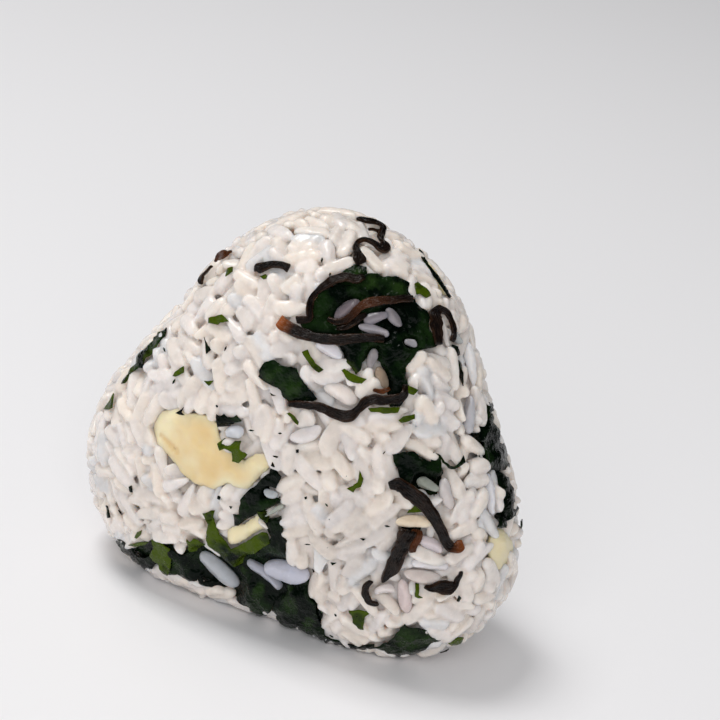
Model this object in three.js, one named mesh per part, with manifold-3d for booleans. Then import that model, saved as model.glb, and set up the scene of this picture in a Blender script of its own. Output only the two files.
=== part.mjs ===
import * as THREE from 'three';
import { mergeVertices } from 'three/addons/utils/BufferGeometryUtils.js';
import Module from 'manifold-3d';

// A triangular onigiri of mixed rice: a pressed heap of short grains with strips of kombu, leaves of
// wakame and soft cheese worked into it. Millimetres, +Z up, front face towards -Y, origin in the
// middle of the flat base. Positions on the ball are measured from its centre: 'front' and 'back'
// routes are [across, up] on that face, and 'rim' routes are [angle round the ball, depth].

const wasm = await Module();
wasm.setup();

// The ball: a rounded triangle seen from the front, with a pillow-shaped depth
const ballRadius = 37.5;
const cornerReach = 0.129;
const halfDepth = 21;
const pillowPower = 2.5;
const centreHeight = 29.5;
const ringDents = [
  { times: 2, size: 0.01, turn: 159 },
  { times: 4, size: 0.01, turn: -159 },
  { times: 5, size: 0.006, turn: 97 },
  { times: 6, size: 0.01, turn: 163 },
];

// The rice: a bare core below the skin, and the grains that show on it
const coreInset = 1.3;
const coreDetail = 4;
const grainCount = 205;
const grainLength = [6.6, 8.2];
const grainWidth = [3.1, 3.7];
const grainDepth = [2.5, 2.9];
const grainLean = 8;
const grainSides = 5;
const grainProud = 0.1;
const grainBlunt = 0.72;
const grainSpacing = 0.12;
const grainTries = 160;
const clearance = 0.35;
const baseRoom = 0.3;
const seedStart = 41;
const cornerGap = 0.01;
const leastHeight = 0.004;

// The toppings
const kombuThick = 0.9;
const leafThick = 0.7;
const leafWave = 0.35;
const restGap = 0.35;
const stepLength = 1.7;

const colours = {
  rice: 0xdfd8d0,
  kombu: 0x33241d,
  wakame: 0x16260f,
  olive: 0x36420a,
  cheese: 0xe7cfa2,
};

// Each strip: a route on the ball, its widths along the route, and its height over the bare core
const kombuStrips = [
  { side: 'rim', widths: [1.7, 1.6, 1.7, 1.3, 1.3, 1.4, 1.2, 1.4, 1.7], lifts: [0.9],
    route: [[91, 3.5], [87, 3], [84.5, 2], [83, 0], [81, -2.2], [80.5, -4.4], [83.5, -5.4], [86, -7.4], [84.5, -9.6]] },
  { side: 'front', widths: [1.3, 1.6, 1.7, 1.3], lifts: [0.8],
    route: [[-11, 33.5], [-9, 34.6], [-6.5, 35.4], [-4.3, 35.2]] },
  { side: 'front', widths: [1.8, 2.1, 2.1, 1.9, 1.4], lifts: [0.9, 0.9, 1, 2.1, 2.4],
    route: [[-3, 27.8], [0, 27], [3.5, 26.2], [7, 26.6], [11, 27.6]] },
  { side: 'front', widths: [1.1, 1.3, 1.5, 1.8, 1.9, 1.5], lifts: [0.8, 0.9, 1.8, 2.4, 2.4, 2.4],
    route: [[1.6, 29], [1.5, 31], [2, 33.2], [3.4, 35], [5.2, 36.2], [6.4, 38]] },
  { side: 'front', widths: [1.7, 1.6, 1.8, 1.8, 1.6], lifts: [1, 1.2, 1.9, 2.4, 2.4],
    route: [[5.4, 29.4], [7.8, 30.9], [9.8, 32.6], [11.8, 33.4], [14.8, 33.6]] },
  { side: 'front', widths: [1.3, 1.6, 1.6, 1.5, 1.6, 1.4, 1.4, 1.6, 1.8, 1.5], lifts: [0.8, 0.8, 0.8, 0.8, 0.8, 0.9, 2.2, 2.4],
    route: [[0.6, 13.8], [3.6, 13.6], [6.4, 14.3], [9.6, 15.2], [12.3, 14.6], [13.6, 16.2], [14.6, 18.4], [17.2, 19], [19.6, 19.2]] },
  { side: 'rim', widths: [1.3, 1.3, 1.4, 1.3, 1.2, 1.2], lifts: [0.9],
    route: [[52.5, -6.8], [56, -6.2], [59.4, -4.6], [58.2, -2.6], [54, -2], [50.6, -3.2]] },
  { side: 'front', widths: [2.6, 2.2, 2.1, 2.1, 2.1, 2, 2, 1.9], lifts: [1.6, 2.3, 2.2, 1.4, 0.9, 0.8, 0.8, 0.9],
    route: [[21, 6], [23.2, 5.6], [25.3, 4.8], [27.3, 3.4], [29.2, 1.4], [30.7, -1], [31.8, -3.2], [33.9, -3]] },
  { side: 'front', widths: [2.5, 2.6, 2.5, 2.2, 1.4], lifts: [0.8],
    route: [[25.4, -2.2], [25.1, -4.7], [25, -7.2], [24.4, -9.4], [22.8, -11]] },
  { side: 'front', widths: [1.1, 1.3, 1.3, 1], lifts: [0.8],
    route: [[20.6, -12], [20.3, -13.7], [21.2, -15.4], [23.2, -15.8]] },
  { side: 'front', widths: [0.8, 1.9, 1.9, 0.8], lifts: [0.8],
    route: [[31, -10.7], [33, -11], [34.3, -9.8], [35.4, -8]] },
  { side: 'rim', widths: [1.2, 1.6, 1.2], lifts: [0.8],
    route: [[130.5, -9], [128, -8], [125.8, -7]] },
  { side: 'rim', widths: [1, 1.4, 1], lifts: [0.8],
    route: [[123.2, -7], [120.4, -7.4], [117.6, -7.4]] },
  { side: 'back', widths: [1.6, 2, 2, 1.8, 1.5], lifts: [0.8],
    route: [[-14, 18], [-11, 21], [-7, 22], [-4, 20], [-2, 17]] },
  { side: 'back', widths: [1.5, 1.8, 1.8, 1.4], lifts: [0.8],
    route: [[17, -6], [20, -9], [24, -10], [27, -8]] },
  { side: 'back', widths: [1.4, 1.7, 1.5], lifts: [0.8],
    route: [[-25, -14], [-21, -12.5], [-18, -15]] },
];

const wakameLeaves = [
  { side: 'front', widths: [2, 3.2, 3.6, 2.2], lifts: [0.7], colour: 'wakame',
    route: [[3.6, 32.4], [5.4, 34], [7.2, 35.6], [8, 37.4]] },
  { side: 'front', widths: [2.6, 3.4, 3, 1.6], lifts: [0.7], colour: 'wakame',
    route: [[9.8, 34.6], [11.6, 35.6], [13.4, 35.4], [15.2, 34.6]] },
  { side: 'front', widths: [2, 3.4, 4.2, 3], lifts: [0.7], colour: 'wakame',
    route: [[15.6, 32.8], [17, 31.4], [18.6, 29.6], [20.4, 27.4]] },
  { side: 'front', widths: [2.4, 3.6, 4, 3, 3, 2.6], lifts: [0.7], colour: 'wakame',
    route: [[12.4, 28.2], [15, 27.6], [17, 25.8], [18, 23.4], [18.4, 21], [18.8, 18.2]] },
  { side: 'front', widths: [2.4, 4, 3.8, 2], lifts: [0.7], colour: 'olive',
    route: [[8.4, 27.4], [9.8, 25.6], [11.2, 23.8], [12.8, 22]] },
  { side: 'front', widths: [2.6, 3.8, 4.8, 4, 1.8], lifts: [0.7], colour: 'wakame',
    route: [[-4.2, 18.6], [-1.8, 19.2], [0.8, 18.6], [3.2, 17.4], [6, 16]] },
  { side: 'rim', widths: [0.8, 1.8, 1.6, 0.8], lifts: [0.8], colour: 'olive',
    route: [[70, -3.8], [67.8, -5], [65.6, -4.8], [63.4, -4.4]] },
  { side: 'rim', widths: [1.6, 2, 1.4], lifts: [0.8], colour: 'wakame',
    route: [[50, -6], [48.4, -3.4], [47.6, -1]] },
  { side: 'rim', widths: [1, 1.4, 1.4, 0.8], lifts: [0.8], colour: 'wakame',
    route: [[46.4, -5.4], [44, -4.4], [41.4, -3.4], [39, -3]] },
  { side: 'rim', widths: [1.4, 3, 4.2, 4.2, 2.4], lifts: [0.8], colour: 'wakame',
    route: [[29, 2], [25, 2.4], [20, 1.6], [15.6, 1.4], [12.4, 1]] },
  { side: 'rim', widths: [1.8, 3.2, 3.4, 3, 1.2], lifts: [0.8], colour: 'wakame',
    route: [[11, -1.6], [7.6, 0.6], [4, 1.2], [0.6, 0.4], [-2.6, -2.2]] },
  { side: 'front', widths: [1.4, 3.2, 3.8, 2.4, 1.4], lifts: [0.7], colour: 'wakame',
    route: [[21, 10.2], [23, 9.8], [25.2, 9], [27.4, 7.8], [28.8, 5.2]] },
  { side: 'front', widths: [1, 0.9, 0.9, 1], lifts: [0.8], colour: 'wakame',
    route: [[27.6, 10.8], [28.6, 9.5], [30, 9.4], [30.8, 11]] },
  { side: 'front', widths: [0.9, 1.2, 0.8], lifts: [0.8], colour: 'olive',
    route: [[16.2, 7.4], [16.6, 5.4], [15.2, 4]] },
  { side: 'front', widths: [2.4, 3.4, 1.2], lifts: [0.8], colour: 'olive',
    route: [[19.2, -18.8], [20.4, -20.2], [20.9, -22.4]] },
  { side: 'front', widths: [1.8, 4.6, 4.4, 1.4], lifts: [0.7], colour: 'wakame',
    route: [[24.6, -25.4], [27.2, -24.4], [30, -23.6], [32.8, -23]] },
  { side: 'front', widths: [2.2, 2.8, 2.2, 1], lifts: [0.7], colour: 'wakame',
    route: [[-29.4, -25], [-27, -25.6], [-24, -26], [-21, -25.6]] },
  { side: 'front', widths: [2, 4, 4, 1.8], lifts: [0.7], colour: 'olive',
    route: [[-19, -18.8], [-17.8, -20.6], [-17, -22.8], [-16.6, -25]] },
  { side: 'front', widths: [3, 3.8, 3], lifts: [0.7], colour: 'wakame',
    route: [[-13.8, -20.8], [-11.8, -21.8], [-9.8, -22.4]] },
  { side: 'front', widths: [1, 1.3, 1.3, 1], lifts: [0.8], colour: 'olive',
    route: [[-12, -17.2], [-11.6, -15.4], [-10, -15.4], [-9.4, -18]] },
  { side: 'front', widths: [1.8, 1.6, 2, 2.6, 3.6, 4.2, 4.2, 2.6], lifts: [0.7], colour: 'olive',
    route: [[-8.8, -9.4], [-7.4, -11.4], [-6.8, -13.6], [-4.8, -15.2], [-2, -15.2], [0.6, -13.2], [3.4, -11.8], [6.2, -12.2]] },
  { side: 'front', widths: [2.4, 2.8, 4, 2.6], lifts: [0.7], colour: 'wakame',
    route: [[-2, -18.6], [-1.2, -20.8], [-0.2, -23.6], [1.4, -26.4]] },
  { side: 'front', widths: [2.8, 5.6, 5.6, 2.4], lifts: [0.7], colour: 'wakame',
    route: [[7.6, -18.2], [8.8, -21], [10.4, -24], [12.8, -26.8]] },
  { side: 'front', widths: [1, 2.4, 3.4, 4, 3.4, 1.6], lifts: [0.7], colour: 'wakame',
    route: [[2, 4.6], [2.5, 2], [1.2, -0.6], [-0.5, -3.2], [-2, -5.4], [-3.4, -7.8]] },
  { side: 'front', widths: [1.2, 2.2, 1.4], lifts: [0.8], colour: 'wakame',
    route: [[3.4, -4.6], [4.6, -6.4], [4.8, -8.4]] },
  { side: 'front', widths: [2.4, 1.8, 1], lifts: [0.8], colour: 'wakame',
    route: [[-9.6, 7.8], [-7.6, 8.6], [-5.4, 9.4]] },
  { side: 'front', widths: [1.2, 1.8, 2.8, 1.6], lifts: [2], colour: 'olive',
    route: [[-8.8, 5], [-6.6, 4.6], [-4.9, 3.6], [-4, 2.4]] },
  { side: 'rim', widths: [1.2, 1.8, 1.8, 1.2, 0.8], lifts: [0.8], colour: 'wakame',
    route: [[147, -10.5], [152, -10.6], [158, -10.2], [164, -10.4], [170, -11.4]] },
  { side: 'back', widths: [2, 4.4, 4.6, 2.2], lifts: [0.7], colour: 'wakame',
    route: [[5, 24], [8, 21], [11, 19], [14, 18]] },
  { side: 'back', widths: [2, 4, 3.6, 1.6], lifts: [0.7], colour: 'olive',
    route: [[-20, 2], [-17, 0], [-14, -3], [-12, -6]] },
  { side: 'back', widths: [2.2, 4.6, 4.8, 2.4], lifts: [0.7], colour: 'wakame',
    route: [[6, -20], [10, -21], [14, -20], [17, -18]] },
  { side: 'back', widths: [1.4, 3, 2.6, 1.2], lifts: [0.7], colour: 'olive',
    route: [[2, 4], [5, 2], [8, 2], [10, 4]] },
];

// Each cheese lump: its middle on the ball, half sizes along and across, turn in degrees and thickness
const cheeseLumps = [
  { side: 'front', middle: [-12.6, 1.4], half: [9.6, 5.6], turn: -14, thick: 1.3 },
  { side: 'rim', middle: [-9.6, -1.6], half: [3.6, 4], turn: 0, thick: 1.5 },
  { side: 'front', middle: [-1.6, -9.6], half: [2.6, 1.6], turn: 35, thick: 1.5 },
  { side: 'rim', middle: [66, 3.4], half: [3.4, 1.6], turn: 0, thick: 1.2 },
  { side: 'back', middle: [-6, -20], half: [6, 4.4], turn: 10, thick: 1.4 },
];

// Small flecks of leaf and one long seed, fused to the rice: middle, length, width and turn
const flecks = [
  { side: 'front', middle: [-14.3, 23.6], size: [3.4, 1.5], turn: 0 },
  { side: 'front', middle: [-14.8, 19.2], size: [2.2, 0.8], turn: -50 },
  { side: 'front', middle: [-19.4, 13.2], size: [2.2, 1], turn: 50 },
  { side: 'front', middle: [-13, 13.8], size: [1.8, 0.9], turn: 0 },
  { side: 'front', middle: [4.4, 22.8], size: [4, 1], turn: -40 },
  { side: 'front', middle: [3.6, 11.2], size: [2.6, 0.8], turn: -30 },
  { side: 'front', middle: [20.8, 16.6], size: [2.4, 0.8], turn: 20 },
  { side: 'front', middle: [-24.4, -21], size: [2.2, 1], turn: 50 },
  { side: 'front', middle: [25.9, -0.2], size: [6.6, 2.5], turn: 3 },
];

const degrees = Math.PI / 180;

// Small repeatable random numbers
let seed = seedStart;
function random() {
  seed = (seed * 16807) % 2147483647;
  return seed / 2147483647;
}
function between([low, high]) {
  return low + (high - low) * random();
}

// Outline radius at an angle counted from +X towards +Z
function ringRadius(angle) {
  const turned = angle - Math.PI / 2;
  let squeeze = 1 - cornerReach * Math.cos(3 * turned);
  for (const dent of ringDents) {
    squeeze -= dent.size * Math.cos(dent.times * turned - dent.turn * degrees);
  }
  return ballRadius / squeeze;
}

// 1 on the skin, less inside and more outside, and in proportion along each ray from the centre
function skinFactor(point) {
  const flat = Math.hypot(point.x, point.z) / ringRadius(Math.atan2(point.z, point.x));
  const deep = Math.abs(point.y) / halfDepth;
  return (flat ** pillowPower + deep ** pillowPower) ** (1 / pillowPower);
}

function skinNormal(point) {
  const step = 0.05;
  const slope = new THREE.Vector3();
  for (const axis of ['x', 'y', 'z']) {
    const ahead = point.clone();
    const behind = point.clone();
    ahead[axis] += step;
    behind[axis] -= step;
    slope[axis] = skinFactor(ahead) - skinFactor(behind);
  }
  return slope.normalize();
}

// The point at a height over the bare core, on the ray through the given point
function pressed(point, lift) {
  const onSkin = point.clone().divideScalar(skinFactor(point));
  return onSkin.addScaledVector(skinNormal(onSkin), lift - coreInset);
}

function skinSpot(side, first, second) {
  if (side === 'rim') {
    const angle = first * degrees;
    const pull = (1 - (Math.abs(second) / halfDepth) ** pillowPower) ** (1 / pillowPower);
    const radius = ringRadius(angle) * pull;
    return new THREE.Vector3(radius * Math.cos(angle), second, radius * Math.sin(angle));
  }
  const flat = Math.hypot(first, second) / ringRadius(Math.atan2(second, first));
  const depth = halfDepth * Math.max(0, 1 - flat ** pillowPower) ** (1 / pillowPower);
  return new THREE.Vector3(first, side === 'front' ? -depth : depth, second);
}

function alongList(values, t) {
  const spot = t * (values.length - 1);
  const index = Math.min(Math.floor(spot), values.length - 2);
  if (values.length === 1) return values[0];
  return THREE.MathUtils.lerp(values[index], values[index + 1], spot - index);
}

// A strip or leaf: a flat ribbon pressed on the ball, with a thickness and a gentle wave
function ribbonSpot(piece, wave, t, across) {
  const middle = pieceRoute(piece, t);
  const ahead = pieceRoute(piece, Math.min(t + 0.01, 1));
  const behind = pieceRoute(piece, Math.max(t - 0.01, 0));
  const tangent = ahead.sub(behind).normalize();
  const sideways = skinNormal(middle).cross(tangent).normalize();
  const end = Math.min(t, 1 - t) < 0.001 ? 0.6 : 1;
  const width = alongList(piece.widths, t) * end;
  const lift = alongList(piece.lifts, t) + wave * (0.5 + 0.5 * Math.sin(9 * t + 2 * across + piece.route[0][0]));
  return pressed(middle.addScaledVector(sideways, across * width / 2), lift);
}

function pieceRoute(piece, t) {
  const curve = new THREE.CatmullRomCurve3(piece.route.map(([a, b]) => new THREE.Vector3(a, b, 0)));
  const spot = curve.getPoint(t);
  return skinSpot(piece.side, spot.x, spot.y);
}

function routeLength(piece) {
  let length = 0;
  for (let i = 0; i < 20; i++) {
    length += pieceRoute(piece, i / 20).distanceTo(pieceRoute(piece, (i + 1) / 20));
  }
  return length;
}

// Two copies of one grid, a thickness apart and with the same triangles, closed by an edge
function sheetGeometry(steps, across, thick, place) {
  const grid = new THREE.PlaneGeometry(2, 2, steps, across);
  const flat = grid.attributes.position;
  const spots = [];
  for (const side of [0.5, -0.5]) {
    for (let i = 0; i < flat.count; i++) {
      const spot = place((flat.getX(i) + 1) / 2, flat.getY(i));
      spots.push(...spot.addScaledVector(skinNormal(spot), side * thick).toArray());
    }
  }
  const corners = [];
  for (let i = 0; i < grid.index.count; i += 3) {
    const [a, b, c] = [0, 1, 2].map((k) => grid.index.getX(i + k));
    corners.push(a, b, c, c + flat.count, b + flat.count, a + flat.count);
  }
  const row = steps + 1;
  const edge = [];
  for (let i = 0; i < steps; i++) edge.push(across * row + i);
  for (let j = across; j > 0; j--) edge.push(j * row + steps);
  for (let i = steps; i > 0; i--) edge.push(i);
  for (let j = 0; j < across; j++) edge.push(j * row);
  edge.forEach((p, i) => {
    const q = edge[(i + 1) % edge.length];
    corners.push(p, p + flat.count, q + flat.count, p, q + flat.count, q);
  });
  return plainGeometry(spots, corners);
}

function plainGeometry(spots, corners) {
  const geometry = new THREE.BufferGeometry();
  geometry.setAttribute('position', new THREE.Float32BufferAttribute(spots, 3));
  geometry.setIndex(corners);
  return geometry;
}

function ribbonGeometry(piece, wave, thick, across) {
  const steps = Math.max(3, Math.round(routeLength(piece) / stepLength));
  return sheetGeometry(steps, across, thick, (t, s) => ribbonSpot(piece, wave, t, s));
}

// Points spread over a ribbon, for keeping the grains off it
function ribbonSamples(piece, wave, thick) {
  const spots = [];
  const count = Math.ceil(routeLength(piece) / 0.6);
  for (let i = 0; i <= count; i++) {
    for (const across of [-1, -0.5, 0, 0.5, 1]) {
      spots.push({ spot: ribbonSpot(piece, wave, i / count, across), reach: thick / 2 });
    }
  }
  return spots;
}

// A low lump that lies on the bare core: a squashed sphere bent to the ball
function lumpGeometry(lump, around, rings) {
  const ball = mergedPositions(new THREE.SphereGeometry(1, around, rings));
  const spots = ball.attributes.position;
  for (let i = 0; i < spots.count; i++) {
    const unit = new THREE.Vector3().fromBufferAttribute(spots, i);
    const spot = lumpSpot(lump, unit.x, -unit.z, unit.y);
    spots.setXYZ(i, spot.x, spot.y, spot.z);
  }
  return ball;
}

function lumpSpot(lump, first, second, height) {
  const turn = (lump.turn ?? 0) * degrees;
  const [halfLong, halfWide] = lump.half;
  const middle = skinSpot(lump.side, ...lump.middle);
  const outward = skinNormal(middle);
  const level = lump.side === 'rim'
    ? new THREE.Vector3(-middle.z, 0, middle.x).normalize()
    : new THREE.Vector3(1, 0, 0).addScaledVector(outward, -outward.x).normalize();
  if (lump.side === 'back') level.negate();
  const upward = new THREE.Vector3().crossVectors(outward, level);
  const long = first * halfLong;
  const wide = second * halfWide;
  middle.addScaledVector(level, long * Math.cos(turn) - wide * Math.sin(turn));
  middle.addScaledVector(upward, long * Math.sin(turn) + wide * Math.cos(turn));
  return pressed(middle, restGap + lump.thick * (0.5 + 0.5 * height));
}

function lumpSamples(lump) {
  const spots = [];
  const rings = 6;
  for (let ring = 0; ring <= rings; ring++) {
    const count = 1 + ring * 6;
    for (let i = 0; i < count; i++) {
      const angle = (i / count) * 2 * Math.PI;
      const out = ring / rings;
      const spot = lumpSpot(lump, out * Math.cos(angle), out * Math.sin(angle), 0);
      spots.push({ spot, reach: (lump.thick / 2) * Math.sqrt(1 - out * out) });
    }
  }
  return spots;
}

function mergedPositions(geometry) {
  geometry.deleteAttribute('normal');
  geometry.deleteAttribute('uv');
  return mergeVertices(geometry, 1e-4);
}

function solidOf(geometry) {
  const vertProperties = new Float32Array(geometry.attributes.position.array);
  const triVerts = new Uint32Array(geometry.index.array);
  const solid = new wasm.Manifold(new wasm.Mesh({ numProp: 3, vertProperties, triVerts }));
  return solid;
}

function geometryOf(solid) {
  const mesh = solid.getMesh();
  return plainGeometry(Array.from(mesh.vertProperties), Array.from(mesh.triVerts));
}

// Where two sheets of a joined surface meet in one point, each sheet's corner is drawn back a little
function partedCorners(geometry) {
  const spots = geometry.attributes.position;
  const shared = new Map();
  for (let i = 0; i < spots.count; i++) {
    const key = [spots.getX(i), spots.getY(i), spots.getZ(i)].map((v) => Math.round(v / cornerGap)).join();
    shared.set(key, [...(shared.get(key) ?? []), i]);
  }
  const corners = geometry.index.array;
  for (const twins of shared.values()) {
    if (twins.length === 1) continue;
    for (const twin of twins) {
      const middle = new THREE.Vector3();
      let count = 0;
      for (let i = 0; i < corners.length; i += 3) {
        const face = [corners[i], corners[i + 1], corners[i + 2]];
        if (!face.includes(twin)) continue;
        for (const other of face.filter((k) => k !== twin)) {
          middle.add(new THREE.Vector3().fromBufferAttribute(spots, other));
          count += 1;
        }
      }
      const spot = new THREE.Vector3().fromBufferAttribute(spots, twin);
      const pull = middle.divideScalar(count).sub(spot).clampLength(0, 2 * cornerGap);
      spot.add(pull);
      spots.setXYZ(twin, spot.x, spot.y, spot.z);
    }
  }
  return geometry;
}

// A triangle with no height is swapped, with the one beyond its longest side, for two fuller ones
function fullerTriangles(geometry) {
  const spots = geometry.attributes.position;
  const corners = geometry.index.array;
  const at = (k) => new THREE.Vector3().fromBufferAttribute(spots, k);
  for (let pass = 0; pass < 6; pass++) {
    const faceOf = new Map();
    corners.forEach((k, i) => faceOf.set(`${k},${corners[i - (i % 3) + ((i + 1) % 3)]}`, i));
    const changed = new Set();
    for (let i = 0; i < corners.length; i += 3) {
      const turns = [0, 1, 2].map((k) => [k, (k + 1) % 3, (k + 2) % 3].map((j) => corners[i + j]));
      turns.sort((p, q) => at(q[0]).distanceTo(at(q[1])) - at(p[0]).distanceTo(at(p[1])));
      const [a, b, c] = turns[0];
      const height = 2 * new THREE.Triangle(at(a), at(b), at(c)).getArea() / at(a).distanceTo(at(b));
      const beyond = faceOf.get(`${b},${a}`);
      const start = beyond - (beyond % 3);
      const d = corners[start + ((beyond + 2) % 3)];
      if (height > leastHeight || changed.has(i) || changed.has(start) || faceOf.has(`${c},${d}`)) continue;
      corners.set([a, d, c], i);
      corners.set([d, b, c], start);
      changed.add(i).add(start);
    }
    if (!changed.size) break;
  }
  return geometry;
}

// The bare core: a ball of small triangles pressed to just under the skin
function coreGeometry() {
  const ball = mergedPositions(new THREE.IcosahedronGeometry(ballRadius, coreDetail));
  const spots = ball.attributes.position;
  for (let i = 0; i < spots.count; i++) {
    const spot = pressed(new THREE.Vector3().fromBufferAttribute(spots, i), 0);
    spots.setXYZ(i, spot.x, spot.y, spot.z);
  }
  if (!ball.index) throw new Error('the core lost its index');
  return ball;
}

// A spot spread evenly over the skin's area
function randomSpot() {
  for (;;) {
    const way = new THREE.Vector3(between([-1, 1]), between([-1, 1]), between([-1, 1]));
    if (way.length() > 1 || way.length() < 0.1) continue;
    way.normalize();
    const spot = way.clone().divideScalar(skinFactor(way));
    const share = spot.lengthSq() / Math.max(0.2, skinNormal(spot).dot(way));
    if (random() * 3200 < share) return spot;
  }
}

function grainAt(spot, size) {
  const outward = skinNormal(spot);
  const level = new THREE.Vector3(0, 1, 0.3).cross(outward).normalize();
  level.applyAxisAngle(outward, random() * Math.PI);
  level.applyAxisAngle(level.clone().cross(outward), between([-grainLean, grainLean]) * degrees);
  const depthWay = outward.clone().addScaledVector(level, -outward.dot(level)).normalize();
  const middle = spot.clone().addScaledVector(outward, grainProud - size.depth / 2);
  return { ...size, middle, level, depthWay };
}

// Distance between two grains' middle lines, from three points on each
function grainDistance(one, other) {
  let least = Infinity;
  for (const s of [-0.3, 0, 0.3]) {
    for (const t of [-0.3, 0, 0.3]) {
      const a = one.middle.clone().addScaledVector(one.level, s * one.length);
      const b = other.middle.clone().addScaledVector(other.level, t * other.length);
      least = Math.min(least, a.distanceTo(b));
    }
  }
  return least;
}

function lowestPoint({ middle, level, length, width }) {
  return middle.z - Math.abs(level.z) * length / 2 - width / 2;
}

function grainClears(grain, samples) {
  const half = grain.length / 2 - grain.width / 2;
  for (const { spot, reach } of samples) {
    const offset = spot.clone().sub(grain.middle);
    const along = THREE.MathUtils.clamp(offset.dot(grain.level), -half, half);
    const gap = offset.addScaledVector(grain.level, -along).length() - grain.width / 2 - reach;
    if (gap < clearance) return false;
  }
  return true;
}

// Largest grains first, each in the emptiest of the places tried for it
function spreadGrains(samples) {
  const sizes = Array.from({ length: grainCount }, () => ({
    length: between(grainLength),
    width: between(grainWidth),
    depth: between(grainDepth),
  }));
  sizes.sort((a, b) => b.length - a.length);
  const grains = [];
  for (const size of sizes) {
    let best = null;
    let room = size.width * (1 - grainSpacing);
    for (let i = 0; i < grainTries; i++) {
      const grain = grainAt(randomSpot(), size);
      if (lowestPoint(grain) < baseRoom - centreHeight) continue;
      const nearest = Math.min(40, ...grains.map((other) => grainDistance(grain, other)));
      if (nearest <= room || !grainClears(grain, samples)) continue;
      best = grain;
      room = nearest;
    }
    if (best) grains.push(best);
  }
  return grains;
}

function grainGeometry({ middle, level, depthWay, length, width, depth }) {
  const geometry = mergedPositions(new THREE.SphereGeometry(1, grainSides, 3));
  const spots = geometry.attributes.position;
  for (let i = 0; i < spots.count; i++) {
    if (Math.abs(spots.getY(i)) > 0.9) continue;
    const out = 1 / Math.hypot(spots.getX(i), spots.getZ(i));
    spots.setXYZ(i, spots.getX(i) * out, Math.sign(spots.getY(i)) * grainBlunt, spots.getZ(i) * out);
  }
  const sideways = new THREE.Vector3().crossVectors(level, depthWay);
  const place = new THREE.Matrix4().makeBasis(
    sideways.multiplyScalar(width / 2),
    level.clone().multiplyScalar(length / 2),
    depthWay.clone().multiplyScalar(depth / 2),
  );
  place.setPosition(middle);
  return geometry.applyMatrix4(place);
}

function fleckGeometry({ side, middle, size, turn }) {
  const seed = size[1] > 2;
  const lump = { side, middle, turn, half: [size[0] / 2, size[1] / 2], thick: seed ? 1.9 : 1 };
  const geometry = lumpGeometry(lump, seed ? 8 : 6, seed ? 5 : 3);
  const spots = geometry.attributes.position;
  for (let i = 0; i < spots.count; i++) {
    const spot = new THREE.Vector3().fromBufferAttribute(spots, i);
    spot.addScaledVector(skinNormal(spot), -restGap - 0.4);
    spots.setXYZ(i, spot.x, spot.y, spot.z);
  }
  return geometry;
}

// Everything above the base plane
function baseCutter() {
  const block = mergedPositions(new THREE.BoxGeometry(200, 200, 200));
  block.translate(0, 0, 100 - centreHeight);
  return solidOf(block);
}

function largestBody(solid) {
  const bodies = solid.decompose();
  bodies.sort((a, b) => b.volume() - a.volume());
  return bodies[0];
}

function riceGeometry(samples) {
  let rice = solidOf(coreGeometry());
  for (const fleck of flecks) rice = rice.add(solidOf(fleckGeometry(fleck)));
  for (const grain of spreadGrains(samples)) rice = rice.add(solidOf(grainGeometry(grain)));
  return fullerTriangles(partedCorners(geometryOf(largestBody(rice.intersect(baseCutter())))));
}

const ball = new THREE.Group();
ball.position.z = centreHeight;

function addPiece(name, geometry, colour, roughness) {
  const material = new THREE.MeshStandardMaterial({ color: colours[colour], roughness, metalness: 0 });
  const mesh = new THREE.Mesh(geometry, material);
  mesh.name = name;
  ball.add(mesh);
}

const samples = [];
kombuStrips.forEach((strip, i) => {
  addPiece(`kombu_${i + 1}`, ribbonGeometry(strip, 0, kombuThick, 1), 'kombu', 0.45);
  samples.push(...ribbonSamples(strip, 0, kombuThick));
});
wakameLeaves.forEach((leaf, i) => {
  addPiece(`wakame_${i + 1}`, ribbonGeometry(leaf, leafWave, leafThick, 2), leaf.colour, 0.3);
  samples.push(...ribbonSamples(leaf, leafWave, leafThick));
});
cheeseLumps.forEach((lump, i) => {
  addPiece(`cheese_${i + 1}`, lumpGeometry(lump, 14, 6), 'cheese', 0.5);
  samples.push(...lumpSamples(lump));
});
addPiece('rice', riceGeometry(samples), 'rice', 0.5);

const group = new THREE.Group();
group.add(ball);

export default group;
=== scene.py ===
import math

import bmesh
import bpy
import numpy as np
from mathutils import Matrix, Vector, kdtree, noise


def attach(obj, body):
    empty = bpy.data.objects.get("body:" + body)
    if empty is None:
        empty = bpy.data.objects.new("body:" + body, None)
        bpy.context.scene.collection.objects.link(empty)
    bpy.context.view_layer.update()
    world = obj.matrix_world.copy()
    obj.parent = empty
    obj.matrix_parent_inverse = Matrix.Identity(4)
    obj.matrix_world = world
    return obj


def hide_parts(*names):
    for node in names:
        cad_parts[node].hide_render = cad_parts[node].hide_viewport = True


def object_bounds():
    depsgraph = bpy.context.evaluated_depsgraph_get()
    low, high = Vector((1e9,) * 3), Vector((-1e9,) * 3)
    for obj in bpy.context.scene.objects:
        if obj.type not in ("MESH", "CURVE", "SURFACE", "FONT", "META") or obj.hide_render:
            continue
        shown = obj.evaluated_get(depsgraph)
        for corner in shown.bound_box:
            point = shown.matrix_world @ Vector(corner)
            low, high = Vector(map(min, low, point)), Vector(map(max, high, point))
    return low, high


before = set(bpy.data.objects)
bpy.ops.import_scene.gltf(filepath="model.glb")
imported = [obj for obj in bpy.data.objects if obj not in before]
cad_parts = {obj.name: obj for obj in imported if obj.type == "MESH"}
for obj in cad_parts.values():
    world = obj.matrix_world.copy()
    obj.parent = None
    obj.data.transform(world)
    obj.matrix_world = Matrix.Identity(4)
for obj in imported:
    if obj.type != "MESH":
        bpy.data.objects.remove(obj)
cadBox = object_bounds()
print("stage: frame loaded")

mm = 0.001

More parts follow.
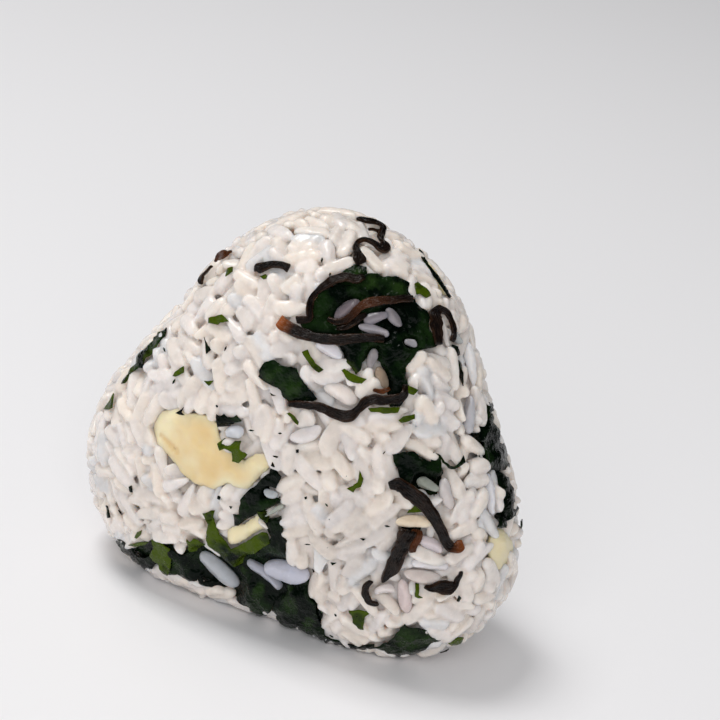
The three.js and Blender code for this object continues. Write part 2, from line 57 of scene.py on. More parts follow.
# The ball's skin, in millimetres from the ball's centre
ball = {
    "radius": 37.5,
    "cornerReach": 0.129,
    "halfDepth": 21.0,
    "pillowPower": 2.5,
    "centreHeight": 29.5,
    "dents": [(2, 0.010, 159), (4, 0.010, -159), (5, 0.006, 97), (6, 0.010, 163)],  # times, size, turn
    "coreInset": 1.3,  # toppings are measured from a bare core this far under the skin
}

def ringRadius(angle):
    turned = angle - math.pi / 2
    squeeze = 1 - ball["cornerReach"] * np.cos(3 * turned)
    for times, size, turn in ball["dents"]:
        squeeze = squeeze - size * np.cos(times * turned - math.radians(turn))
    return ball["radius"] / squeeze

def skinFactor(points):
    flat = np.hypot(points[:, 0], points[:, 2]) / ringRadius(np.arctan2(points[:, 2], points[:, 0]))
    deep = np.abs(points[:, 1]) / ball["halfDepth"]
    power = ball["pillowPower"]
    return (flat ** power + deep ** power) ** (1 / power)

def skinSlope(points):
    step = 0.05
    slope = np.zeros_like(points)
    for axis in range(3):
        shift = np.zeros(3)
        shift[axis] = step
        slope[:, axis] = (skinFactor(points + shift) - skinFactor(points - shift)) / (2 * step)
    return slope

def unitRows(rows):
    return rows / np.maximum(np.linalg.norm(rows, axis=1), 1e-9)[:, None]

def skinNormal(points):
    return unitRows(skinSlope(points))

def skinDepth(points):  # how far under the skin a point is
    return (1 - skinFactor(points)) / np.linalg.norm(skinSlope(points), axis=1)

def pressed(points, lift):  # the point at a height over the bare core, on the ray through the given point
    onSkin = points / skinFactor(points)[:, None]
    return onSkin + skinNormal(onSkin) * (np.asarray(lift) - ball["coreInset"])[..., None]

def skinSpots(side, spots):  # skin at (across, up) places on the front or back, or as the camera sees them
    if side == "seen":
        return seenSpots(spots)
    across, up = spots[:, 0], spots[:, 1]
    flat = np.hypot(across, up) / ringRadius(np.arctan2(up, across))
    depth = ball["halfDepth"] * np.maximum(0, 1 - flat ** ball["pillowPower"]) ** (1 / ball["pillowPower"])
    return np.stack([across, -depth if side == "front" else depth, up], 1)

def placed(points):  # from millimetres round the ball's centre to metres in the frame
    return (points + np.array([0, 0, ball["centreHeight"]])) * mm

def insideBox(points, room=0.03):  # in metres, held inside the solids' own box with some room in millimetres
    low, high = (np.array(corner) for corner in cadBox)
    return np.clip(points, low + room * mm, high - room * mm)

cameraLook = {
    "azimuth": 18.56,
    "elevation": 21.59,
    "roll": 10.93,
    "distance": 0.400,
    "focalPixels": 2300,
    "framePixels": 720,
    "ballPixel": (309.9, 442.8),  # where the ball's centre lands
    "sensorWidth": 36,
    "clip": (0.01, 20),
}
sightLine = {"from": 0.88, "to": 1.06, "steps": 73, "halvings": 12}  # shares of the way from eye to centre

def cameraAxes(look):  # right, above and back
    azimuth, elevation, roll = (math.radians(look[key]) for key in ("azimuth", "elevation", "roll"))
    back = np.array([math.sin(azimuth) * math.cos(elevation), -math.cos(azimuth) * math.cos(elevation),
                     math.sin(elevation)])
    level = unitRows(np.cross(-back, [[0, 0, 1]]))[0]
    upright = np.cross(level, -back)
    right = math.cos(roll) * level + math.sin(roll) * upright
    above = math.cos(roll) * upright - math.sin(roll) * level
    return right, above, back

def eyeSpot(look):  # the eye, in millimetres from the ball's centre
    right, above, back = cameraAxes(look)
    middle = look["framePixels"] / 2
    slideX = (look["ballPixel"][0] - middle) / look["focalPixels"]
    slideY = -(look["ballPixel"][1] - middle) / look["focalPixels"]
    return look["distance"] / mm * (back - slideX * right - slideY * above)

def newObject(name, data):
    made = bpy.data.objects.new(name, data)
    bpy.context.scene.collection.objects.link(made)
    return made

def makeCamera(look):
    camera = newObject("camera", bpy.data.cameras.new("camera"))
    camera.data.sensor_width = look["sensorWidth"]
    camera.data.lens = look["sensorWidth"] * look["focalPixels"] / look["framePixels"]
    camera.data.clip_start, camera.data.clip_end = look["clip"]
    place = Matrix.Translation(placed(eyeSpot(look)[None])[0])
    camera.matrix_world = place @ Matrix([list(axis) for axis in cameraAxes(look)]).transposed().to_4x4()
    bpy.context.scene.camera = camera

def seenSpots(spots):  # where sight lines through (across, up) places beside the ball's centre meet the skin
    right, above, _ = cameraAxes(cameraLook)
    eye = eyeSpot(cameraLook)
    aims = spots[:, :1] * right + spots[:, 1:] * above - eye
    shares = np.linspace(sightLine["from"], sightLine["to"], sightLine["steps"])
    factors = np.stack([skinFactor(eye + share * aims) for share in shares], 1)
    met = (factors < 1).any(1)
    first = np.where(met, (factors < 1).argmax(1), factors.argmin(1))
    near, far = shares[np.maximum(first - 1, 0)], shares[first]
    for _ in range(sightLine["halvings"]):
        half = (near + far) / 2
        within = skinFactor(eye + half[:, None] * aims) < 1
        far = np.where(within, half, far)
        near = np.where(within, near, half)
    points = eye + np.where(met, far, shares[first])[:, None] * aims
    return points / skinFactor(points)[:, None]

makeCamera(cameraLook)
print("stage: camera made")

def plainMaterial(name, finish):
    material = bpy.data.materials.new(name)
    material.use_nodes = True
    shader = material.node_tree.nodes["Principled BSDF"]
    for socket, value in finish.items():
        shader.inputs[socket].default_value = value
    return material

class NodeBench:
    def __init__(self, material):
        self.nodes = material.node_tree.nodes
        self.links = material.node_tree.links
        self.shader = self.nodes["Principled BSDF"]
        self.place = self.add("ShaderNodeTexCoord").outputs["Object"]

    def add(self, kind, **settings):
        node = self.nodes.new(kind)
        for key, value in settings.items():
            setattr(node, key, value)
        return node

    def attribute(self, name, output="Fac"):
        return self.add("ShaderNodeAttribute", attribute_name=name).outputs[output]

    def noise(self, perMetre, detail=2.0, stretch=None, roughness=0.5):
        texture = self.add("ShaderNodeTexNoise")
        texture.inputs["Scale"].default_value = perMetre
        texture.inputs["Detail"].default_value = detail
        texture.inputs["Roughness"].default_value = roughness
        self.links.new(stretch or self.place, texture.inputs["Vector"])
        return texture.outputs["Fac"]

    def span(self, value, low, high, newLow=0.0, newHigh=1.0):
        node = self.add("ShaderNodeMapRange")
        for socket, number in zip(("From Min", "From Max", "To Min", "To Max"), (low, high, newLow, newHigh)):
            node.inputs[socket].default_value = number
        self.links.new(value, node.inputs["Value"])
        return node.outputs["Result"]

    def sums(self, operation, first, second):
        node = self.add("ShaderNodeMath", operation=operation)
        for socket, value in zip(node.inputs, (first, second)):
            if isinstance(value, (int, float)):
                socket.default_value = value
            else:
                self.links.new(value, socket)
        return node.outputs[0]

    def blend(self, share, first, second, how="MIX"):
        node = self.add("ShaderNodeMix", data_type="RGBA", blend_type=how)
        sockets = (node.inputs["Factor"], node.inputs[6], node.inputs[7])
        for socket, value in zip(sockets, (share, first, second)):
            if isinstance(value, (int, float)):
                socket.default_value = value
            elif isinstance(value, tuple):
                socket.default_value = (*value, 1.0)
            else:
                self.links.new(value, socket)
        return node.outputs[2]

    def colour(self, value):
        self.links.new(value, self.shader.inputs["Base Color"])

    def roughness(self, value):
        self.links.new(value, self.shader.inputs["Roughness"])

    def bump(self, height, depth):
        node = self.add("ShaderNodeBump")
        node.inputs["Distance"].default_value = depth
        self.links.new(height, node.inputs["Height"])
        self.links.new(node.outputs["Normal"], self.shader.inputs["Normal"])

# In each finish, a noise is its scale per metre and its detail, and a span is what goes in and what comes out
riceFinish = {
    "milky": (0.78, 0.72, 0.675),
    "clear": (0.68, 0.67, 0.67),
    "clearShare": 0.07,
    "clearTones": (0.96, 0.12),  # least, and how much a grain may add
    "lightSpread": 0.12,
    "lightMiddle": 0.55,
    "warmSpread": 0.06,
    "mottleNoise": (700, 3),
    "mottleSpan": (0.3, 0.7, 0.9, 1.06),
    "wetNoise": (1500, 2),
    "wetSpan": (0.3, 0.7, 0.1, 0.3),
    "reliefNoise": (1100, 3),
    "relief": 0.00007,
    "shader": {
        "Roughness": 0.3,
        "IOR": 1.42,
        "Subsurface Weight": 0.75,
        "Subsurface Radius": (1.0, 0.85, 0.72),
        "Subsurface Scale": 0.0021,
    },
}

def makeRiceMaterial(name, finish):
    material = plainMaterial(name, finish["shader"])
    bench = NodeBench(material)
    tint = bench.attribute("tint", "Color")
    mottle = bench.span(bench.noise(*finish["mottleNoise"]), *finish["mottleSpan"])
    bench.colour(bench.blend(1.0, tint, bench.blend(mottle, (0, 0, 0), (1, 1, 1)), "MULTIPLY"))
    bench.roughness(bench.span(bench.noise(*finish["wetNoise"]), *finish["wetSpan"]))
    bench.bump(bench.noise(*finish["reliefNoise"]), finish["relief"])
    return material

kombuFinish = {
    "dark": (0.0026, 0.0024, 0.0027),
    "brown": (0.016, 0.0088, 0.0056),
    "edge": (0.040, 0.017, 0.0075),
    "amber": (0.30, 0.075, 0.010),
    "streakStretch": (0.5, 1.7, 1.0),  # long streaks down the strip
    "streakNoise": (1.6, 3),
    "streakSpan": (0.42, 0.72),
    "patchNoise": (260, 2),
    "patchSpan": (0.42, 0.75, 0.0, 0.6),
    "rimNoise": (400, 2),
    "rimWander": (0.3, 0.7, -0.35, 0.35),
    "rimSpan": (0.7, 1.3, 0.0, 0.7),
    "wetSpan": (0.3, 0.7, 0.18, 0.34),
    "reliefNoise": (800, 2),
    "relief": 0.0003,
    "shader": {"Roughness": 0.22, "IOR": 1.4, "Specular IOR Level": 0.32,
               "Subsurface Weight": 0.05, "Subsurface Radius": (1.0, 0.4, 0.2), "Subsurface Scale": 0.0006},
}

def makeKombuMaterial(name, finish):
    material = plainMaterial(name, finish["shader"])
    bench = NodeBench(material)
    along = bench.add("ShaderNodeUVMap", uv_map="stripMap").outputs["UV"]
    stretched = bench.add("ShaderNodeMapping")
    stretched.inputs["Scale"].default_value = finish["streakStretch"]
    bench.links.new(along, stretched.inputs["Vector"])
    streaks = bench.noise(*finish["streakNoise"], stretched.outputs["Vector"])
    base = bench.blend(bench.span(streaks, *finish["streakSpan"]), finish["dark"], finish["brown"])
    patches = bench.span(bench.noise(*finish["patchNoise"]), *finish["patchSpan"])
    base = bench.blend(patches, base, finish["brown"])
    wander = bench.span(bench.noise(*finish["rimNoise"]), *finish["rimWander"])
    rim = bench.span(bench.sums("ADD", bench.attribute("rim"), wander), *finish["rimSpan"])
    base = bench.blend(rim, base, finish["edge"])
    bench.colour(bench.blend(bench.attribute("amber"), base, finish["amber"]))
    bench.roughness(bench.span(streaks, *finish["wetSpan"]))
    bench.bump(bench.sums("ADD", streaks, bench.noise(*finish["reliefNoise"])), finish["relief"])
    return material

wakameFinish = {
    "dark": (0.0012, 0.0036, 0.0018),
    "green": (0.007, 0.019, 0.0045),
    "olive": (0.050, 0.080, 0.0025),
    "leaf": (0.013, 0.030, 0.006),
    "cloudNoise": (230, 3),
    "cloudSpan": (0.46, 0.68),
    "oliveNoise": (190, 3),
    "oliveRoughness": 0.6,
    "oliveEdge": 0.1,
    "oliveTone": 0.4,
    "oliveSpan": (0.78, 1.0),
    "glowNoise": (800, 4),
    "glowWander": (0.3, 0.7, -0.3, 0.3),
    "glowSpan": (0.35, 1.0),
    "wetNoise": (900, 2),
    "wetSpan": (0.3, 0.7, 0.16, 0.32),
    "wrinkleNoise": (420, 3),
    "fineNoise": (1500, 2),
    "fineShare": 0.25,
    "relief": 0.0009,
    "shader": {"Roughness": 0.2, "IOR": 1.36, "Specular IOR Level": 0.2,
               "Subsurface Weight": 0.05, "Subsurface Radius": (0.5, 1.0, 0.2), "Subsurface Scale": 0.0006},
}

def makeWakameMaterial(name, finish, oliveShare):
    material = plainMaterial(name, finish["shader"])
    bench = NodeBench(material)
    clouds = bench.span(bench.noise(*finish["cloudNoise"]), *finish["cloudSpan"])
    base = bench.blend(clouds, finish["dark"], finish["green"])
    # painted highlight in part: the "bright" patches glow in the lighter leaf green, as if lit through the
    # thin leaf
    wander = bench.span(bench.noise(*finish["glowNoise"]), *finish["glowWander"])
    glow = bench.span(bench.sums("ADD", bench.attribute("bright"), wander), *finish["glowSpan"])
    base = bench.blend(glow, base, finish["leaf"])
    share = bench.sums("MULTIPLY", bench.attribute("edge"), finish["oliveEdge"])
    share = bench.sums("ADD", share, bench.noise(*finish["oliveNoise"], roughness=finish["oliveRoughness"]))
    share = bench.sums("ADD", share, bench.sums("MULTIPLY", bench.attribute("tone"), finish["oliveTone"]))
    olive = bench.span(share, *[limit - oliveShare for limit in finish["oliveSpan"]])
    bench.colour(bench.blend(olive, base, finish["olive"]))
    bench.roughness(bench.span(bench.noise(*finish["wetNoise"]), *finish["wetSpan"]))
    fine = bench.sums("MULTIPLY", bench.noise(*finish["fineNoise"]), finish["fineShare"])
    bench.bump(bench.sums("ADD", bench.noise(*finish["wrinkleNoise"]), fine), finish["relief"])
    return material

cheeseFinish = {
    "cream": (0.76, 0.57, 0.29),
    "light": (0.82, 0.72, 0.48),
    # painted shade: the dark colour laid along the creases
    "creaseShade": (0.46, 0.32, 0.16),
    "shadeNoise": (150, 2),
    "edgeShare": 0.3,
    "brightShare": 0.35,
    "lightSpan": (0.42, 0.8),
    "creaseShadeSpan": (0.3, 0.05),
    "reliefNoise": (520, 4),
    "relief": 0.0002,
    "shader": {"Roughness": 0.38, "IOR": 1.4, "Subsurface Weight": 0.5,
               "Subsurface Radius": (1.0, 0.8, 0.4), "Subsurface Scale": 0.0018},
}

def makeCheeseMaterial(name, finish):
    material = plainMaterial(name, finish["shader"])
    bench = NodeBench(material)
    shade = bench.noise(*finish["shadeNoise"])
    for mark, share in (("edge", finish["edgeShare"]), ("bright", finish["brightShare"])):
        shade = bench.sums("ADD", shade, bench.sums("MULTIPLY", bench.attribute(mark), share))
    # painted highlight in part: the pale colour comes where "bright" is set, partly the cheese's own paler
    # parts and partly painted highlight
    base = bench.blend(bench.span(shade, *finish["lightSpan"]), finish["cream"], finish["light"])
    # painted shade: where a crease lowers the shade value, the crease colour is painted in
    bench.colour(bench.blend(bench.span(shade, *finish["creaseShadeSpan"]), base, finish["creaseShade"]))
    bench.bump(bench.noise(*finish["reliefNoise"]), finish["relief"])
    return material

riceMaterial = makeRiceMaterial("moistRice", riceFinish)
kombuMaterial = makeKombuMaterial("simmeredKombu", kombuFinish)
wakameMaterial = makeWakameMaterial("darkWakame", wakameFinish, 0.0)
oliveMaterial = makeWakameMaterial("oliveWakame", wakameFinish, 0.4)
cheeseMaterial = makeCheeseMaterial("softCheese", cheeseFinish)
print("stage: materials made")

def meshFrom(body, name):
    mesh = bpy.data.meshes.new(name)
    body.to_mesh(mesh)
    body.free()
    return mesh

def joinedMesh(name, meshes):
    joined = bmesh.new()
    for mesh in meshes:
        joined.from_mesh(mesh)
        bpy.data.meshes.remove(mesh)
    return meshFrom(joined, name)

def addPiece(name, mesh, material, nodes):
    mesh.materials.append(material)
    for polygon in mesh.polygons:
        polygon.use_smooth = True
    piece = newObject(name, mesh)
    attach(piece, "root")
    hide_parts(*nodes)
    return piece

def finishSheet(piece, thickness, rounded=False, offset=0):
    shell = piece.modifiers.new("thickness", "SOLIDIFY")
    shell.thickness = thickness * mm
    shell.offset = offset
    if rounded:
        rounder = piece.modifiers.new("rounding", "SUBSURF")
        rounder.levels = 1
        rounder.render_levels = 1

foldBuild = {"soft": 0.42, "small": 0.95, "smallShare": 0.5}  # waves per millimetre

def folds(points, seed):  # soft and small creases, about -1 to 1
    shift = Vector((seed, 0.7 * seed, 0))
    soft, small, share = foldBuild["soft"], foldBuild["small"], foldBuild["smallShare"]
    return np.array([noise.noise(Vector(point) * soft + shift)
                     + share * noise.noise(Vector(point) * small + shift)
                     for point in points])

def wayAt(turn):  # the direction at a turn in degrees
    return np.array([math.cos(math.radians(turn)), math.sin(math.radians(turn))])

# Grains that stand out: middle, half length and half width as seen, turn, tint, and how far each is sunk
# The dark and grey tints are painted shade for grains lying in shadow among the dark toppings; over the
# leaves they also show the dark leaf through a clear grain.
brightGrains = [
    {"at": (-16.4, -23.0), "half": (4.5, 2.1), "turn": -42, "tint": (0.42, 0.44, 0.47), "sink": 0},
    {"at": (-4.6, -23.2), "half": (4.1, 2.3), "turn": -11, "tint": (0.50, 0.51, 0.59), "sink": -0.2},
    {"at": (-8.6, -23.9), "half": (3.9, 1.95), "turn": -42, "tint": (0.36, 0.37, 0.43), "sink": 0.7},
    {"at": (28.6, 14.0), "half": (4.1, 1.4), "turn": -80, "tint": (0.82, 0.80, 0.80), "sink": 0},
    {"at": (28.7, 5.0), "half": (3.4, 1.5), "turn": -92, "tint": (0.50, 0.50, 0.53), "sink": 0.2},
    {"at": (6.4, 23.2), "half": (3.0, 1.45), "turn": 40, "tint": (0.18, 0.155, 0.17), "sink": 0.4},
    {"at": (11.8, 21.9), "half": (2.5, 1.3), "turn": 14, "tint": (0.29, 0.27, 0.30), "sink": 0.3},
    {"at": (14.9, 22.0), "half": (2.1, 1.1), "turn": -50, "tint": (0.29, 0.27, 0.29), "sink": 0.4},
    {"at": (11.2, 19.7), "half": (2.9, 1.0), "turn": -16, "tint": (0.36, 0.34, 0.37), "sink": 0.1},
    {"at": (24.0, 19.6), "half": (2.9, 0.95), "turn": -74, "tint": (0.66, 0.61, 0.58), "sink": 0.2},
    {"at": (17.9, 17.5), "half": (1.2, 0.8), "turn": -20, "tint": (0.32, 0.31, 0.33), "sink": 0.4},
    {"at": (10.9, 14.6), "half": (1.9, 0.95), "turn": 72, "tint": (0.30, 0.28, 0.29), "sink": 0.5},
    {"at": (12.6, 11.2), "half": (2.1, 1.1), "turn": -66, "tint": (0.31, 0.24, 0.18), "sink": 0.4},
    {"at": (5.2, 8.4), "half": (3.3, 1.6), "turn": -27, "tint": (0.78, 0.71, 0.67), "sink": 0},
    {"at": (-7.1, -9.1), "half": (1.3, 0.85), "turn": -18, "tint": (0.42, 0.45, 0.47), "sink": 0.3},
    {"at": (-6.4, -12.0), "half": (1.9, 0.6), "turn": 32, "tint": (0.34, 0.36, 0.32), "sink": 0.3},
    {"at": (-13.6, 1.6), "half": (1.6, 1.3), "turn": 5, "tint": (0.62, 0.64, 0.68), "sink": 0.2},
    {"at": (20.9, -7.5), "half": (2.2, 1.3), "turn": -24, "tint": (0.32, 0.34, 0.30), "sink": 0.5},
    {"at": (21.0, -21.4), "half": (3.4, 1.3), "turn": -5, "tint": (0.78, 0.73, 0.74), "sink": 0},
    {"at": (19.6, -23.7), "half": (3.4, 1.25), "turn": -8, "tint": (0.64, 0.57, 0.54), "sink": 0.3},
    {"at": (21.2, -18.0), "half": (2.4, 1.2), "turn": -30, "tint": (0.64, 0.57, 0.59), "sink": 0.3},
    {"at": (16.4, -27.3), "half": (3.0, 1.35), "turn": -80, "tint": (0.64, 0.54, 0.53), "sink": 0.2},
    {"at": (12.8, -26.0), "half": (1.9, 1.3), "turn": 4, "tint": (0.70, 0.64, 0.63), "sink": 0.2},
    {"at": (24.2, -9.0), "half": (2.9, 1.2), "turn": -76, "tint": (0.64, 0.59, 0.58), "sink": 0.2},
    {"at": (32.2, -8.8), "half": (3.7, 1.2), "turn": -84, "tint": (0.74, 0.73, 0.76), "sink": 0.1},
    {"at": (3.2, 16.2), "half": (2.7, 1.35), "turn": -30, "tint": (0.72, 0.69, 0.72), "sink": 0.2},
    {"at": (-1.0, 1.2), "half": (3.0, 1.4), "turn": 20, "tint": (0.76, 0.71, 0.70), "sink": 0.2},
    {"at": (26.3, 18.9), "half": (1.7, 0.9), "turn": -60, "tint": (0.42, 0.44, 0.44), "sink": 0.4},
]

grainPrint = {"endPull": 0.8, "sideRoom": 0.3, "power": 4}  # how a leaf sinks under a bright grain

def nearGrain(spots):  # 1 on a bright grain, falling to 0 beside it
    nearness = np.zeros(len(spots))
    for grain in brightGrains:
        way = wayAt(grain["turn"])
        offset = spots - np.array(grain["at"])
        reach = grain["half"][0] - grainPrint["endPull"]
        along = np.clip(offset @ way, -reach, reach)
        sideReach = grain["half"][1] + grainPrint["sideRoom"]
        gap = np.linalg.norm(offset - along[:, None] * way, axis=1) / sideReach
        nearness = np.maximum(nearness, np.exp(-gap ** grainPrint["power"]))
    return nearness

def tornOutline(outline, step, size, seed):  # the outline in short pieces, a little uneven
    draw = np.random.default_rng(seed)
    points = []
    for here, there in zip(outline, outline[1:] + outline[:1]):
        here, there = np.array(here, float), np.array(there, float)
        length = np.linalg.norm(there - here)
        sideways = np.array([here[1] - there[1], there[0] - here[0]]) / max(length, 1e-6)
        pieces = max(1, round(length / step))
        for index in range(pieces):
            jog = draw.uniform(-size, size) if index else 0
            points.append(here + (there - here) * index / pieces + sideways * jog)
    return np.array(points)

def edgeDistance(points, outline):
    nearest = np.full(len(points), 99.0)
    for here, there in zip(outline, np.roll(outline, -1, axis=0)):
        way = there - here
        share = np.clip(((points - here) @ way) / max(way @ way, 1e-9), 0, 1)
        nearest = np.minimum(nearest, np.linalg.norm(points - here - share[:, None] * way, axis=1))
    return nearest

def withinOutline(points, outline):
    inside = np.zeros(len(points), bool)
    for here, there in zip(outline, np.roll(outline, -1, axis=0)):
        rises = (here[1] > points[:, 1]) != (there[1] > points[:, 1])
        cross = here[0] + (points[:, 1] - here[1]) * (there[0] - here[0]) / (there[1] - here[1] + 1e-12)
        inside ^= rises & (points[:, 0] < cross)
    return inside

def sheetPoints(sheet, spots, outline, build):  # places on a leaf or a slice, and how near its edge
    side = sheet.get("side", "seen")
    onSkin = skinSpots(side, spots)
    edge = np.exp(-edgeDistance(spots, outline) / build["edgeReach"])
    lift = sheet.get("lift", build["lift"]) + build["wave"] * folds(onSkin, outline[0][0])
    lift = lift - build["edgeDip"] * edge
    for left, foot, right, top, width, depth in sheet.get("creases", []):
        line = np.array([(left, foot), (right, top)])
        lift = lift - depth * np.exp(-(edgeDistance(spots, line) / width) ** 2)
    if side == "seen":
        near = nearGrain(spots)
        lift = lift * (1 - near) + np.minimum(lift, build["underGrain"]) * near
    return pressed(onSkin, lift), edge

def sheetMesh(name, sheet, build):
    seed = int(abs(sheet["outline"][0][0]) * 10)
    outline = tornOutline(sheet["outline"], build["tearStep"], build["ragged"], seed)
    body = bmesh.new()
    body.faces.new([body.verts.new((*corner, 0)) for corner in outline])
    bmesh.ops.triangulate(body, faces=body.faces[:])
    low, high = outline.min(0), outline.max(0)
    for axis, way in enumerate((Vector((1, 0, 0)), Vector((0, 1, 0)))):
        for place in np.arange(low[axis] + build["step"], high[axis], build["step"]):
            bmesh.ops.bisect_plane(body, geom=body.verts[:] + body.edges[:] + body.faces[:], dist=1e-5,
                                   plane_co=way * place, plane_no=way)
    marks = [body.verts.layers.float.new(mark) for mark in ("edge", "bright", "tone")]
    corners = list(body.verts)
    spots = np.array([corner.co[:2] for corner in corners])
    points, edge = sheetPoints(sheet, spots, outline, build)
    bright = np.zeros(len(spots))
    for across, up, reach in sheet.get("bright", []):
        bright = np.maximum(bright, np.exp(-((spots - (across, up)) ** 2).sum(1) / reach ** 2))
    # painted shade: a crease lowers "bright", so its line takes the darker crease colour
    for left, foot, right, top, width, _ in sheet.get("creases", []):
        bright = bright - np.exp(-(edgeDistance(spots, np.array([(left, foot), (right, top)])) / width) ** 2)
    tone = np.full(len(spots), float(sheet.get("tone", 0)))
    held = insideBox(placed(points), build["thickness"])
    for corner, point, *values in zip(corners, held, edge, bright, tone):
        corner.co = point
        for mark, value in zip(marks, values):
            corner[mark] = value
    bmesh.ops.recalc_face_normals(body, faces=body.faces)
    centre = Vector((0, 0, ball["centreHeight"] * mm))
    if sum(face.normal.dot(face.calc_center_median() - centre) for face in body.faces) < 0:
        bmesh.ops.reverse_faces(body, faces=body.faces)
    return meshFrom(body, name)

def joinedSheets(name, sheets, build):
    meshes = (sheetMesh(f"{name}_{number}", sheet, build) for number, sheet in enumerate(sheets))
    return joinedMesh(name, meshes)
